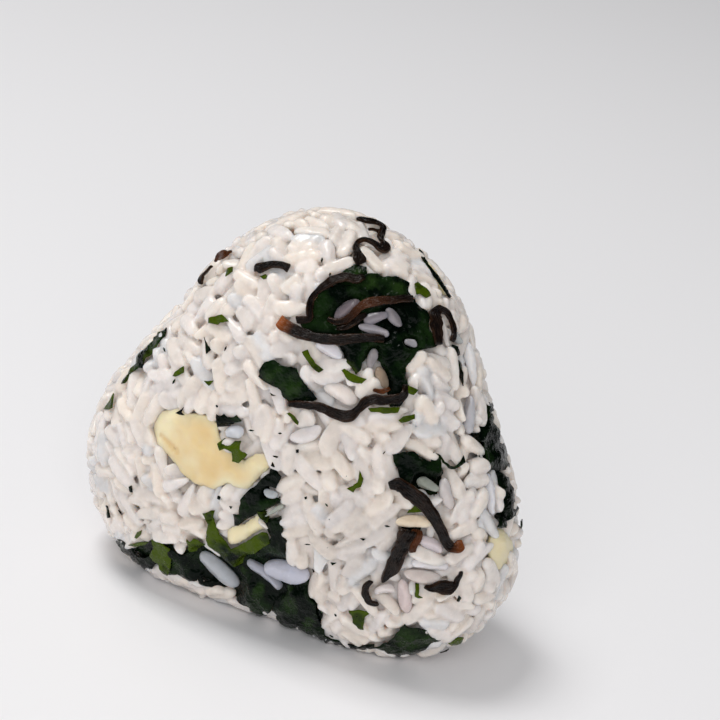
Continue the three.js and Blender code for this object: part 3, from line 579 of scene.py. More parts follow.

# Wakame: wet torn leaves, each drawn by its outline in millimetres across and up from the ball's centre, as
# the camera sees it. "bright" lists greener patches as across, up and reach, and "tone" turns it to olive.
# The greener "bright" patches are partly the leaf's own green and partly painted highlight of light through
# the thin leaf.
wakameBuild = {"thickness": 0.2, "lift": 1.15, "wave": 0.5, "edgeDip": 0.12, "edgeReach": 0.5,
               "underGrain": -1.2,
               "tearStep": 0.6, "ragged": 0.09, "step": 0.5}
wakameLeaves = [
    {"outline": [(4.4, 27.8), (4.9, 29.2), (6.3, 30.5), (7.7, 31.2), (8.9, 31), (9.9, 30.6), (10, 28.4),
     (9, 26.8), (7.4, 26.4), (5.6, 26.9)], "lift": 1.0, "bright": [(8.4, 29.4, 1.6)]},
    {"outline": [(9, 28.8), (10.1, 29.4), (11.8, 29.5), (13, 28.9), (15, 29), (16.4, 28.3), (17.3, 27.8),
     (17.2, 26.4), (18.2, 25.2), (16.2, 24.9), (13.7, 25), (11.6, 25.2), (10.1, 25), (9, 26.4)],
     "bright": [(10.8, 28.2, 1.8), (15.4, 26.8, 1.6)]},
    {"outline": [(16.6, 24.8), (18.4, 25.2), (18.7, 24), (19.9, 23.4), (20.8, 22.1), (21, 20.5),
     (21.6, 18.6), (22.8, 17.4), (22.1, 16.7), (19.9, 16.4), (18.6, 16.9), (17.8, 17.6), (17.4, 19),
     (17, 20.5), (17.2, 22), (16.4, 23.4)]},
    {"outline": [(10, 18), (13.3, 18.8), (15, 19.8), (16.4, 19.2), (17.7, 18.2), (18.4, 16.8), (17.7, 15.5),
     (16.5, 14.3), (16.4, 12.3), (17.2, 10.1), (16.9, 7.9), (15.8, 6.2), (14, 6.2), (13.4, 7.4), (14, 8.6),
     (14.1, 10.8), (13.7, 13.3), (12.6, 15), (11.2, 15.6), (10, 16.2)], "lift": 1.0},
    {"outline": [(4.8, 18.1), (7, 18.5), (10, 18), (10.2, 16.4), (9.2, 14.8), (8.8, 12.6), (8, 11.8),
     (7.2, 13.2), (6, 14.4), (5.2, 16.2)], "olive": True, "tone": -0.55},
    {"outline": [(-9.1, 11.5), (-8.6, 13), (-7.9, 14), (-6.5, 14.4), (-5.1, 13.5), (-3.8, 13.2), (-2.3, 13),
     (-1.9, 11.8), (-1, 10.4), (0.3, 8.9), (1.2, 7.5), (0, 7), (-2, 6.8), (-3.7, 7.1), (-4.7, 7.9),
     (-5.2, 9), (-5.7, 9.6), (-6.6, 9.9), (-8, 10.6)], "bright": [(-7.3, 11.4, 1.3), (-3.2, 9.2, 2.2),
     (-5.6, 12.8, 1.0)]},
    {"outline": [(18.4, 28.3), (19, 28.1), (20, 27.2), (20.6, 26.4), (21.2, 25.8), (20.4, 25.3), (19.4, 26),
     (18.4, 26.2), (18.1, 27)], "olive": True},
    {"outline": [(24.4, 16), (25.3, 17.1), (26.8, 17.6), (27.4, 16.8), (26.8, 15.3), (25.6, 15.5)]},
    {"outline": [(25, 14.4), (26.6, 14.4), (27.5, 13), (27.9, 11.4), (28.1, 9.4), (27.5, 9.8), (26.8, 10.9),
     (26.6, 12.2), (25.8, 13.5)]},
    {"outline": [(30, 6.8), (31, 7.3), (32, 6.9), (32.4, 5.3), (32.6, 3.2), (33.4, 1.6), (34.2, 0),
     (34.8, -2), (35, -4.4), (33, -5), (30.9, -4.7), (31, -2), (30.5, 0.1), (29.4, 0.6), (30.2, 3)]},
    {"outline": [(31.8, -5), (33.5, -5), (34.9, -6), (35.4, -7.5), (35.8, -9.6), (36.3, -11.4),
     (35.9, -12.7), (34.5, -13.7), (34.3, -14.8), (32.7, -14.7), (33.2, -13), (33.9, -11.9), (33.6, -9.8),
     (33.7, -7.8), (33, -6.3)]},
    {"outline": [(14.3, -1.9), (15.6, -2), (16.6, -1.6), (18.1, -1.5), (19.2, -2.5), (21.2, -3.4),
     (21.5, -1.6), (22.9, -2.2), (22.9, -4.2), (24, -6.4), (23.1, -8.4), (22.5, -9.9), (22, -9.6),
     (22.9, -6.4), (20.7, -6.8), (20.2, -5.9), (18.7, -6.1), (18, -7.3), (15.8, -6.8), (15.3, -4.6),
     (14.6, -3.4)]},
    {"outline": [(22.8, -2.2), (23.3, -3.2), (24.4, -4), (25.3, -4.1), (26.2, -3.2), (26.8, -2.2),
     (27, -3.4), (26, -4.2), (25.2, -4.6), (24, -4.4), (23, -3.4)], "lift": 1.35},
    {"outline": [(8.6, -4.9), (9.3, -6.3), (8.9, -7.6), (8, -7.9), (7.6, -8.6), (6.4, -8), (7.5, -7.5),
     (8.3, -6.9)], "olive": True, "lift": 1.35},
    {"outline": [(6.7, -29.3), (8.4, -29.2), (10.5, -29.8), (9.5, -30.4), (9.3, -32.6), (8.4, -32.4),
     (7.4, -31.4), (7.2, -30.3)], "olive": True},
    {"outline": [(11, -35.9), (13.3, -35.1), (14.6, -34), (15.8, -32.6), (16.5, -31.8), (17.2, -32.5),
     (19.2, -32.6), (20.4, -32.8), (21.2, -33.9), (22.8, -34.5), (20.7, -35.6), (18.7, -36.8),
     (15.5, -37.7), (13.2, -37)], "bright": [(16.8, -34.4, 2.6), (20.4, -34.2, 1.4)]},
    {"outline": [(-34.4, -18.3), (-33.7, -16.9), (-32.6, -17.3), (-31.6, -18), (-31.1, -19.1),
     (-30.2, -19.9), (-29.1, -20.2), (-27.8, -19.9), (-27.2, -21), (-27.4, -21.9), (-29.1, -22.2),
     (-31.1, -21.6), (-32.6, -20.5), (-33.6, -19.5)]},
    {"outline": [(-27.8, -17), (-26.7, -17), (-25.7, -17.6), (-24.4, -18.5), (-24.1, -20.3), (-24.4, -22.3),
     (-24.8, -23.2), (-25.6, -22.7), (-26.3, -21.2), (-27.2, -20.8), (-28, -19.8), (-27.4, -18.6)],
     "olive": True, "lift": 1.3},
    {"outline": [(-25, -18.4), (-23.8, -18.8), (-22.9, -19.7), (-21.4, -19.6), (-19.6, -19.8),
     (-19.2, -21.4), (-19.4, -23), (-19.7, -24), (-21, -24.1), (-22.2, -23.7), (-23.2, -23.1),
     (-24.6, -23)], "bright": [(-23.6, -21.4, 0.9)]},
    {"outline": [(-21.4, -16.7), (-20.9, -17.2), (-20.2, -16.6), (-19.4, -16.8), (-18.9, -18),
     (-18.7, -19.4), (-19.5, -20), (-20.6, -20), (-21.4, -19.4)], "olive": True, "lift": 1.35},
    {"outline": [(-18.8, -12.4), (-17.8, -12.1), (-17.2, -11.8), (-16.6, -11.8), (-16.9, -13), (-16.7, -14),
     (-16.1, -15.2), (-15.8, -16.2), (-15, -17.2), (-14.3, -17.9), (-13.7, -18.5), (-12.4, -18),
     (-11.2, -17.3), (-9.8, -16.3), (-8.3, -15.5), (-7.6, -15.7), (-7, -17.5), (-8.6, -18.6), (-10, -19.6),
     (-10.7, -21.3), (-12, -21.9), (-13.8, -22), (-15, -21.3), (-16.2, -20.2), (-17.2, -19.2), (-17.9, -18),
     (-18.1, -16.5), (-17.8, -15), (-17.7, -14.2), (-18.2, -13.5)], "olive": True, "lift": 1.3},
    {"outline": [(-13.8, -22), (-11, -21.6), (-10.8, -23.2), (-10, -24.4), (-8.3, -25.9), (-7.1, -26.6),
     (-5.7, -26.3), (-6.2, -28), (-6.8, -29.3), (-7.8, -30.4), (-8.9, -30.7), (-10, -30.1), (-10.8, -29.3),
     (-12.9, -28.4), (-13.4, -27.2), (-12.5, -26.1), (-12.2, -25.4), (-12.9, -24.6), (-13.4, -23.4)],
     "bright": [(-9.4, -26.6, 1.3), (-12, -22.8, 0.9)]},
    {"outline": [(-4.9, -25.2), (-2.6, -25), (-1.2, -25.9), (-0.2, -27.5), (0.7, -28.5), (1.3, -31),
     (2.6, -33.7), (4.2, -34.5), (1.8, -34.8), (-1.4, -34.1), (-3.1, -33.3), (-4.9, -32), (-5.9, -30.7),
     (-6.7, -29.2), (-6, -27)], "bright": [(-3.4, -28.4, 1.5), (-0.4, -31.6, 1.4), (-4.2, -26.2, 0.9)]},
    {"outline": [(-6.6, -3.4), (-6, -4.8), (-5, -5.9), (-5.4, -6.9), (-6.2, -8.2), (-6.1, -9.8),
     (-5.1, -9.8), (-5.7, -11), (-7.8, -11.9), (-9.2, -12.3), (-11, -13.3), (-12.4, -14.4), (-13.1, -14.4),
     (-13.3, -12.4), (-12.3, -12.4), (-12.2, -10), (-10.8, -8.4), (-9.4, -7.4), (-8.5, -6.3), (-7.2, -5.4),
     (-6.9, -4.4)], "lift": 1.3},
    {"outline": [(-9.2, -12.3), (-8.2, -13), (-7.6, -13.6), (-6.4, -13.3), (-5.2, -12.9), (-5, -14.8),
     (-4.9, -16), (-4, -17.1), (-4.5, -18.7), (-3.9, -20.2), (-3.9, -21.3), (-6.6, -21.2), (-8.3, -21.7),
     (-10.6, -20.8), (-9.9, -19.5), (-8.6, -18.5), (-7.3, -17.6), (-6.8, -16.5), (-7.6, -15.4),
     (-8.4, -14.2)], "lift": 1.0},
    {"outline": [(-16.2, 5), (-15.6, 4.6), (-15, 5), (-14.6, 4.5), (-13.4, 4.4), (-12.8, 4.8), (-12, 3.7),
     (-13.4, 3.4), (-14.9, 2.6), (-16.2, 2.8)], "lift": 1.35},
    {"outline": [(-15.9, -0.1), (-15.4, 0.5), (-14.6, 0), (-12.3, 0.1), (-12, -1), (-10.6, -1.9),
     (-12, -3.3), (-13.3, -3.1), (-13.4, -1.5), (-14.6, -0.9), (-15.4, -1.2)], "olive": True, "lift": 1.8},
    {"outline": [(-24.9, 20), (-26.3, 19.2), (-27.8, 17.4), (-30, 15), (-31.6, 11.9), (-33, 10.3),
     (-32.2, 10.4), (-31, 12.2), (-29.9, 13.1), (-29.2, 13), (-28.7, 14.6), (-27.8, 15.4), (-26.6, 16.9),
     (-25.3, 18.6)], "lift": 1.4, "tone": 0.5, "bright": [(-27.2, 17.4, 2.0), (-30.8, 13, 1.5)]},
    {"side": "back", "outline": [(3.6, 25), (5.4, 26), (7.4, 24.2), (10.6, 22.4), (14.4, 20.4), (15.6, 18),
     (13, 16.4), (10, 16.6), (7.6, 18.4), (5.2, 21.2), (3.8, 22.6)]},
    {"side": "back", "outline": [(-21.4, 2.6), (-19.4, 4), (-17, 2.6), (-14, 0.6), (-11.6, -2.4),
     (-10.4, -5.6), (-11.8, -7), (-13.6, -5.6), (-15.4, -4.4), (-17.4, -2.4), (-20.2, 0.2)], "olive": True},
    {"side": "back", "outline": [(4.4, -19.6), (6.6, -17.6), (9.6, -18.8), (12.4, -17.2), (15.6, -16.4),
     (18.4, -16.8), (17.6, -19.6), (14.8, -22.4), (11, -23.6), (7.4, -22.6), (5.6, -21)]},
    {"side": "back", "outline": [(0.8, 4.6), (2.8, 5.4), (4.6, 3.8), (7, 4.2), (9.4, 5.6), (11, 4.2),
     (9.2, 1.4), (6.2, 0.2), (3.6, 0.8), (1.6, 2.4)], "olive": True},
]

for number, leaf in enumerate(wakameLeaves, 1):
    olive = leaf.get("olive", False)
    piece = addPiece(f"wakameLeaf_{number}", sheetMesh(f"wakameLeaf_{number}", leaf, wakameBuild),
                     oliveMaterial if olive else wakameMaterial,
                     [f"wakame_{number}"])
    finishSheet(piece, wakameBuild["thickness"])
print("stage: wakame leaves made")

# Flecks and shreds of leaf between the grains
fleckBuild = {**wakameBuild, "lift": 1.4, "wave": 0.12, "edgeDip": 0.05, "step": 0.45, "ragged": 0.06}
oliveFlecks = [
    {"outline": [(-17.6, 21.7), (-15.3, 22.3), (-14.1, 21.1), (-15.6, 20.9), (-16, 20.5), (-17.6, 20.8)]},
    {"outline": [(-23.8, 11.6), (-23.4, 12.3), (-21.9, 13.3), (-21.9, 12.2), (-23.3, 11.5)]},
    {"outline": [(-18.4, 10.8), (-16.7, 10.8), (-17.5, 9.9)]},
    {"outline": [(-14.6, 28.9), (-14.2, 30.3), (-13.4, 30.6), (-13.4, 29.8), (-14.2, 29.2)]},
    {"outline": [(-30.4, -16.4), (-30, -15.5), (-29.2, -15.2), (-29.4, -16), (-30, -16.6)]},
    {"outline": [(-1.4, 15.8), (-0.4, 16.2), (0.2, 15), (1, 13.8), (2.4, 12.7), (1.6, 12.2), (0.6, 12.9),
     (-0.4, 14.2)]},
    {"outline": [(-4.2, 5), (-3.6, 5.3), (-2.6, 4.6), (-1.9, 3.6), (-2.1, 3.1), (-2.8, 3.8), (-3.4, 4.6)]},
    {"outline": [(10.1, 5.9), (12, 6.1), (15.8, 6.1), (15.4, 5.2), (13, 5), (10.6, 5.3)], "lift": 1.0},
    {"outline": [(15.4, 3.9), (16.2, 4.6), (18.2, 5), (18.2, 4.2), (16.6, 3.6), (15.8, 3.5)]},
    {"outline": [(5.5, 12.6), (6, 12.9), (7.2, 12.1), (8.6, 11.5), (9.9, 11.1), (9, 10.3), (7.6, 10.5),
     (6.6, 11)]},
    {"outline": [(17, 10), (18.8, 9.2), (18, 8.3), (17, 8.7)]},
    {"outline": [(16.9, -12.4), (17.9, -10.6), (18.6, -9.8), (19.9, -12)], "lift": 0.9},
    {"outline": [(-35.8, 5.8), (-34.9, 7.2), (-34.1, 8.6), (-34.3, 6), (-35, 5.8)]},
    {"outline": [(-31.6, -17.8), (-30, -17.3), (-28, -17.2), (-28.6, -17.7), (-30.4, -18)]},
    {"outline": [(18.3, -25), (19, -25.1), (18.9, -26.5), (19.6, -26.9), (18.3, -26.9)]},
    {"outline": [(23.8, -34.6), (24.4, -34), (26.7, -33.8), (26.2, -34.8), (24.6, -35.2)]},
    {"outline": [(-8.8, 29), (-7.8, 29.4), (-7.2, 28.8), (-8.2, 28.5)], "lift": 1.2},
    {"outline": [(-9.2, -11.9), (-8.4, -12.1), (-7.4, -12.9), (-7.5, -13.9), (-8.4, -13.4)], "lift": 1.4},
]
darkFlecks = [
    {"outline": [(-18.4, 18.4), (-17.8, 17), (-17.2, 16.2), (-18, 15.5), (-18.1, 16.8)]},
    {"outline": [(-31.4, -7.6), (-31, -7.4), (-30.8, -8.6), (-31.2, -8.5)]},
    {"outline": [(-35.5, -10.9), (-35.2, -11), (-34.7, -13), (-35.1, -13)]},
    {"outline": [(-16, -9.2), (-15.4, -9.3), (-15.7, -9.9), (-16.1, -9.7)]},
    {"outline": [(-14, -11), (-13.5, -11.1), (-13.7, -11.5)]},
    {"outline": [(-23.3, 5.2), (-22.6, 5.6), (-21.9, 6.2), (-22.3, 5.3), (-21.8, 4.8), (-22.6, 4.9)]},
    {"outline": [(-0.9, -9.4), (-0.5, -9.3), (-0.5, -9.7), (-0.8, -9.8)]},
    {"outline": [(-2.6, -1.4), (-2.1, -1.3), (-2, -1.7), (-2.4, -1.8)]},
    {"outline": [(0, -24), (0.2, -24.4), (-0.1, -25), (-0.5, -23.2)]},
    {"outline": [(25.9, -26.5), (26.3, -26.9), (25.9, -27.6), (25.5, -27.5)]},
    {"outline": [(36.6, -13.6), (37, -13.3), (37, -14.6), (36.6, -14.9)]},
    {"outline": [(3.6, -20.8), (4.6, -20.9), (3.9, -21.3)]},
    {"outline": [(8.7, -16.6), (9.7, -16.7), (9.3, -17)]},
    {"outline": [(22.8, -36.7), (24.1, -35.7), (23.8, -36.4)]},
    {"outline": [(3.3, -34.2), (5, -34.7), (7, -35.3), (9, -35.5), (11.2, -35.2), (11.2, -36), (9, -36.2),
     (6.5, -36), (4.4, -35.4)], "lift": 1.1},
    {"outline": [(-20, -23.4), (-19.4, -23.6), (-18.8, -24.6), (-17.4, -25), (-15.6, -25.8), (-14.9, -26.5),
     (-13.4, -26.7), (-13.3, -27.3), (-14.6, -27.1), (-16.4, -26.2), (-18.3, -25.3), (-19.4, -24.7)],
     "lift": 1.1},
    {"outline": [(19, 33.7), (19.6, 33.2), (20.6, 31), (21.8, 29.6), (23, 28), (24.6, 25.4), (24.3, 25.2),
     (22.6, 27.6), (21.3, 29.4), (20.2, 30.9), (19.2, 32.9)], "lift": 1.3},
    {"outline": [(-6.4, -2.2), (-5.5, -2.4), (-5.6, -2.6), (-6.3, -2.4)]},
    {"outline": [(2.1, 31.2), (2.3, 31.9), (2.1, 32.2), (1.9, 31.6)]},
    {"outline": [(3.4, 28.9), (3.7, 29.4), (3.5, 29.6), (3.3, 29.2)]},
    {"outline": [(-6.9, 8.7), (-6.4, 8.4), (-5.9, 8.2), (-6.6, 8.2)]},
    {"outline": [(11.2, 19.6), (12, 20.8), (13.3, 21.2), (12.8, 19.7), (12.2, 19.5)], "lift": 1.7},
]

# Leaves that lie deeper, seen only between the grains
underBuild = {**wakameBuild, "lift": -0.3, "wave": 0.4, "step": 0.7, "underGrain": -0.9}
underLeaves = [
    {"outline": [(0.3, 22), (0.6, 24.6), (2, 26.6), (5, 28.4), (8, 30), (10, 29.4), (14, 29), (17, 28),
     (18.4, 25), (20.8, 22.6), (21.4, 19), (22.6, 17), (19, 16), (17, 13), (16.6, 9), (15.6, 6.2),
     (13.6, 7), (13.8, 11), (12.4, 14), (10, 15), (8, 13), (6, 14), (5, 17.6), (2, 17.8), (-1, 18.8),
     (-2, 20.8)], "lift": 0.6},
    {"outline": [(-34, -18.4), (-31, -18), (-28, -17.4), (-24, -19), (-20, -19), (-18, -19), (-15, -21),
     (-10, -19.5), (-5, -18), (-4, -21), (-1, -25), (1, -28), (2, -32), (4, -34.4), (0, -34), (-4, -32.4),
     (-7, -29.5), (-10, -30.2), (-13, -28.8), (-15, -27.6), (-19, -25.6), (-24, -23.4), (-28, -22),
     (-32, -21)], "lift": 0.2},
    {"outline": [(15, -2.6), (19, -2.8), (22.6, -3), (23.6, -6.4), (22.4, -9.6), (19.6, -9), (17.6, -10.6),
     (16.4, -8.4), (15.4, -6)]},
    {"outline": [(30.4, 6.4), (32, 6.6), (32.6, 3), (34.4, 0), (35, -4), (36, -11), (35.4, -12.8),
     (34, -13), (33.8, -9), (32.6, -5.4), (31, -4), (30.6, 0), (29.8, 1)]},
    {"outline": [(0.6, 24.4), (1.6, 26), (3, 27), (5, 27.6), (8, 27.4), (9.6, 26.6), (9, 25.6), (6.4, 25.8),
     (4.4, 24.6), (3, 22.6), (1, 21.6), (0.2, 22.6)], "lift": 1.0},
    {"outline": [(16, -15), (19.6, -15.2), (18.8, -19), (17.2, -19.4), (15.6, -22), (13.4, -23.6),
     (14.6, -20)]},
]

for name, sheets, build, material in (("oliveShreds", oliveFlecks, fleckBuild, oliveMaterial),
                                      ("darkShreds", darkFlecks, fleckBuild, wakameMaterial),
                                      ("leavesBelow", underLeaves, underBuild, wakameMaterial)):
    piece = addPiece(name, joinedSheets(name, sheets, build), material, ["rice"])
    finishSheet(piece, build["thickness"])
print("stage: shreds made")

# Cheese: soft slices pressed into the rice; a crease has its two ends, its width and its depth, and its line
# is also painted darker as painted shade
cheeseBuild = {"thickness": 1.4, "lift": 1.1, "wave": 0.3, "edgeDip": 1.1, "edgeReach": 1.1,
               "underGrain": 0.2,
               "tearStep": 1.2, "ragged": 0.12, "step": 0.6}
cheeseSlices = [
    {"outline": [(-26.6, 5.6), (-24, 6.2), (-21.4, 5.2), (-18.6, 4.6), (-16.6, 3.2), (-16.2, 0.6),
     (-14.4, -1.6), (-12, -3.4), (-10, -2.2), (-8, -2.3), (-7.4, -4.6), (-9.6, -7), (-11.8, -9),
     (-14.6, -7.6), (-17.8, -8.8), (-20.6, -7.6), (-23, -5.8), (-25, -3.2), (-27.4, -0.4), (-28.2, 2.8)],
     "inset": 0.6, "bright": [(-26.2, 3.4, 2.2), (-27, 0, 1.6), (-15.5, -7.6, 1.6)],
     "creases": [(-26.4, 1.4, -23.4, -1.6, 0.35, 0.5)]},
    {"outline": [(32.6, -16.4), (33.2, -15.2), (34.4, -14.6), (35.8, -16), (36.7, -18.2), (36, -20.4),
     (35, -22.4), (33.4, -22.8), (32.3, -21.4), (32, -19)], "inset": 0.3, "bright": [(34.4, -18.6, 5)]},
    {"outline": [(-11.7, -14.4), (-9.4, -12.4), (-8.2, -14.2), (-6.6, -16.4), (-8.3, -15.4), (-9.8, -16.2),
     (-11.2, -17.2), (-12.4, -17.9), (-13.8, -18.4), (-14.9, -17.4), (-15, -15.6), (-13.6, -14.8)],
     "lift": 1.5, "bright": [(-11.4, -15.6, 7)]},
    # painted highlight: this slice on the upper right rim is made pale all over by its wide "bright" patch
    {"outline": [(20, 33), (21, 32.6), (22.3, 31.2), (23.6, 29.2), (24.5, 27), (24.4, 25.8), (23.6, 26.6),
     (22.6, 28.4), (21.6, 29.8), (20.4, 31.4)], "inset": 0.0, "lift": 1.6, "bright": [(22.6, 29.2, 6)]},
    {"side": "back", "outline": [(-12, -18.4), (-10.6, -15.8), (-7, -15.2), (-3, -16), (0, -17.6),
     (0.4, -20.6), (-2, -23.4), (-5.6, -24.6), (-9.4, -24), (-11.8, -21.4)]},
]

for number, cheese in enumerate(cheeseSlices, 1):
    mesh = sheetMesh(f"cheeseSlice_{number}", cheese, cheeseBuild)
    piece = addPiece(f"cheeseSlice_{number}", mesh, cheeseMaterial, [f"cheese_{number}"])
    finishSheet(piece, cheeseBuild["thickness"], rounded=True, offset=-1)
print("stage: cheese made")

def routeAt(route, share):  # smooth curve through the route's points
    spot = share * (len(route) - 1)
    index = min(int(spot), len(route) - 2)
    share = spot - index
    here, there = route[index], route[index + 1]
    before = route[index - 1] if index else 2 * here - there
    after = route[index + 2] if index + 2 < len(route) else 2 * there - here
    first, second, third = (max(np.linalg.norm(step) ** 0.5, 1e-4)
                            for step in (here - before, there - here, after - there))
    leave = ((here - before) / first - (there - before) / (first + second) + (there - here) / second) * second
    arrive = ((there - here) / second - (after - here) / (second + third) + (after - there) / third) * second
    square, cube = share ** 2, share ** 3
    return ((2 * cube - 3 * square + 1) * here + (cube - 2 * square + share) * leave
            + (3 * square - 2 * cube) * there + (cube - square) * arrive)

def alongList(values, shares):
    return np.interp(shares, np.linspace(0, 1, len(values)), values)

def unevenness(shares, across, waves, depth):  # smooth noise, from waves along and across a strip
    return np.array([noise.noise(Vector((waves[0] * share, waves[1] * edge, depth)))
                     for share, edge in zip(shares, across)])

def stripPoints(strip, shares, across, shape):  # matching lists of places along and across a strip
    route = np.array(strip["route"], float)
    side = strip.get("side", "seen")
    shares = np.round(shares, 6)
    rows, back = np.unique(shares, return_inverse=True)
    middle, ahead, behind = (
        skinSpots(side, np.array([routeAt(route, min(max(row + shift, 0), 1)) for row in rows]))
        for shift in (0, shape["peek"], -shape["peek"]))
    sideways = unitRows(np.cross(skinNormal(middle), ahead - behind))[back]
    start = strip["route"][0][0] + 3.7 * strip["route"][0][1]
    draw = np.random.default_rng(int(abs(start) * 97) + 5)
    places = np.linspace(0, 1, max(3, len(route) * 2))
    left, right = (np.interp(shares, places, nicks)
                   for nicks in draw.uniform(-1, 1, (2, len(places))) * shape["ragged"])
    width = alongList(strip["widths"], shares) * (1 + np.where(across > 0, left, right))
    lift = alongList(strip.get("lifts", [shape["lift"]]), shares)
    lift = lift + shape["wave"] * unevenness(shares, across, shape["waves"], start + 9)
    lift = lift + shape["crinkle"] * unevenness(shares, across, shape["crinkles"], start - 5)
    lift = lift + shape["edgeLift"] * np.abs(across) ** 3
    lift = lift + shape["twist"] * across * np.sin(shape["turns"] * shares + start) * width / 2
    dip = np.clip(1 - np.minimum(shares, 1 - shares) / shape["endReach"], 0, 1) ** 2
    return pressed(middle[back] + sideways * (across * width / 2)[:, None], lift - shape["endDip"] * dip)

def stripLength(strip):
    places = np.linspace(0, 1, kombuBuild["measures"])
    line = stripPoints(strip, places, np.zeros(len(places)), plainShape)
    return np.linalg.norm(np.diff(line, axis=0), axis=1).sum()

def stripMesh(name, strip, shape, build):
    length = stripLength(strip)
    steps = max(build["fewestSteps"], round(length / build["stepLength"]))
    body = bmesh.new()
    stripMap = body.loops.layers.uv.new("stripMap")
    amber, rim = (body.verts.layers.float.new(mark) for mark in ("amber", "rim"))
    bmesh.ops.create_grid(body, x_segments=steps, y_segments=build["columns"], size=1.0)
    corners = list(body.verts)
    shares = np.array([(corner.co.x + 1) / 2 for corner in corners])
    across = np.array([corner.co.y for corner in corners])
    spots = insideBox(placed(stripPoints(strip, shares, across, shape)), build["thickness"])
    for face in body.faces:
        for loop in face.loops:
            loop[stripMap].uv = (length * (loop.vert.co.x + 1) / 2, loop.vert.co.y * build["mapWidth"])
    start, end = strip.get("amber", (0, 0))
    tip = build["tipReach"]
    most, place, reach = strip.get("red", (0, 0, 1))
    for corner, share, edge, spot in zip(corners, shares, np.abs(across), spots):
        middle = most * max(0, 1 - abs(share - place) / reach)
        corner[rim] = edge
        corner[amber] = max(start * (1 - share / tip), end * (1 - (1 - share) / tip), middle, 0)
        corner.co = spot
    bmesh.ops.recalc_face_normals(body, faces=body.faces)
    return meshFrom(body, name)

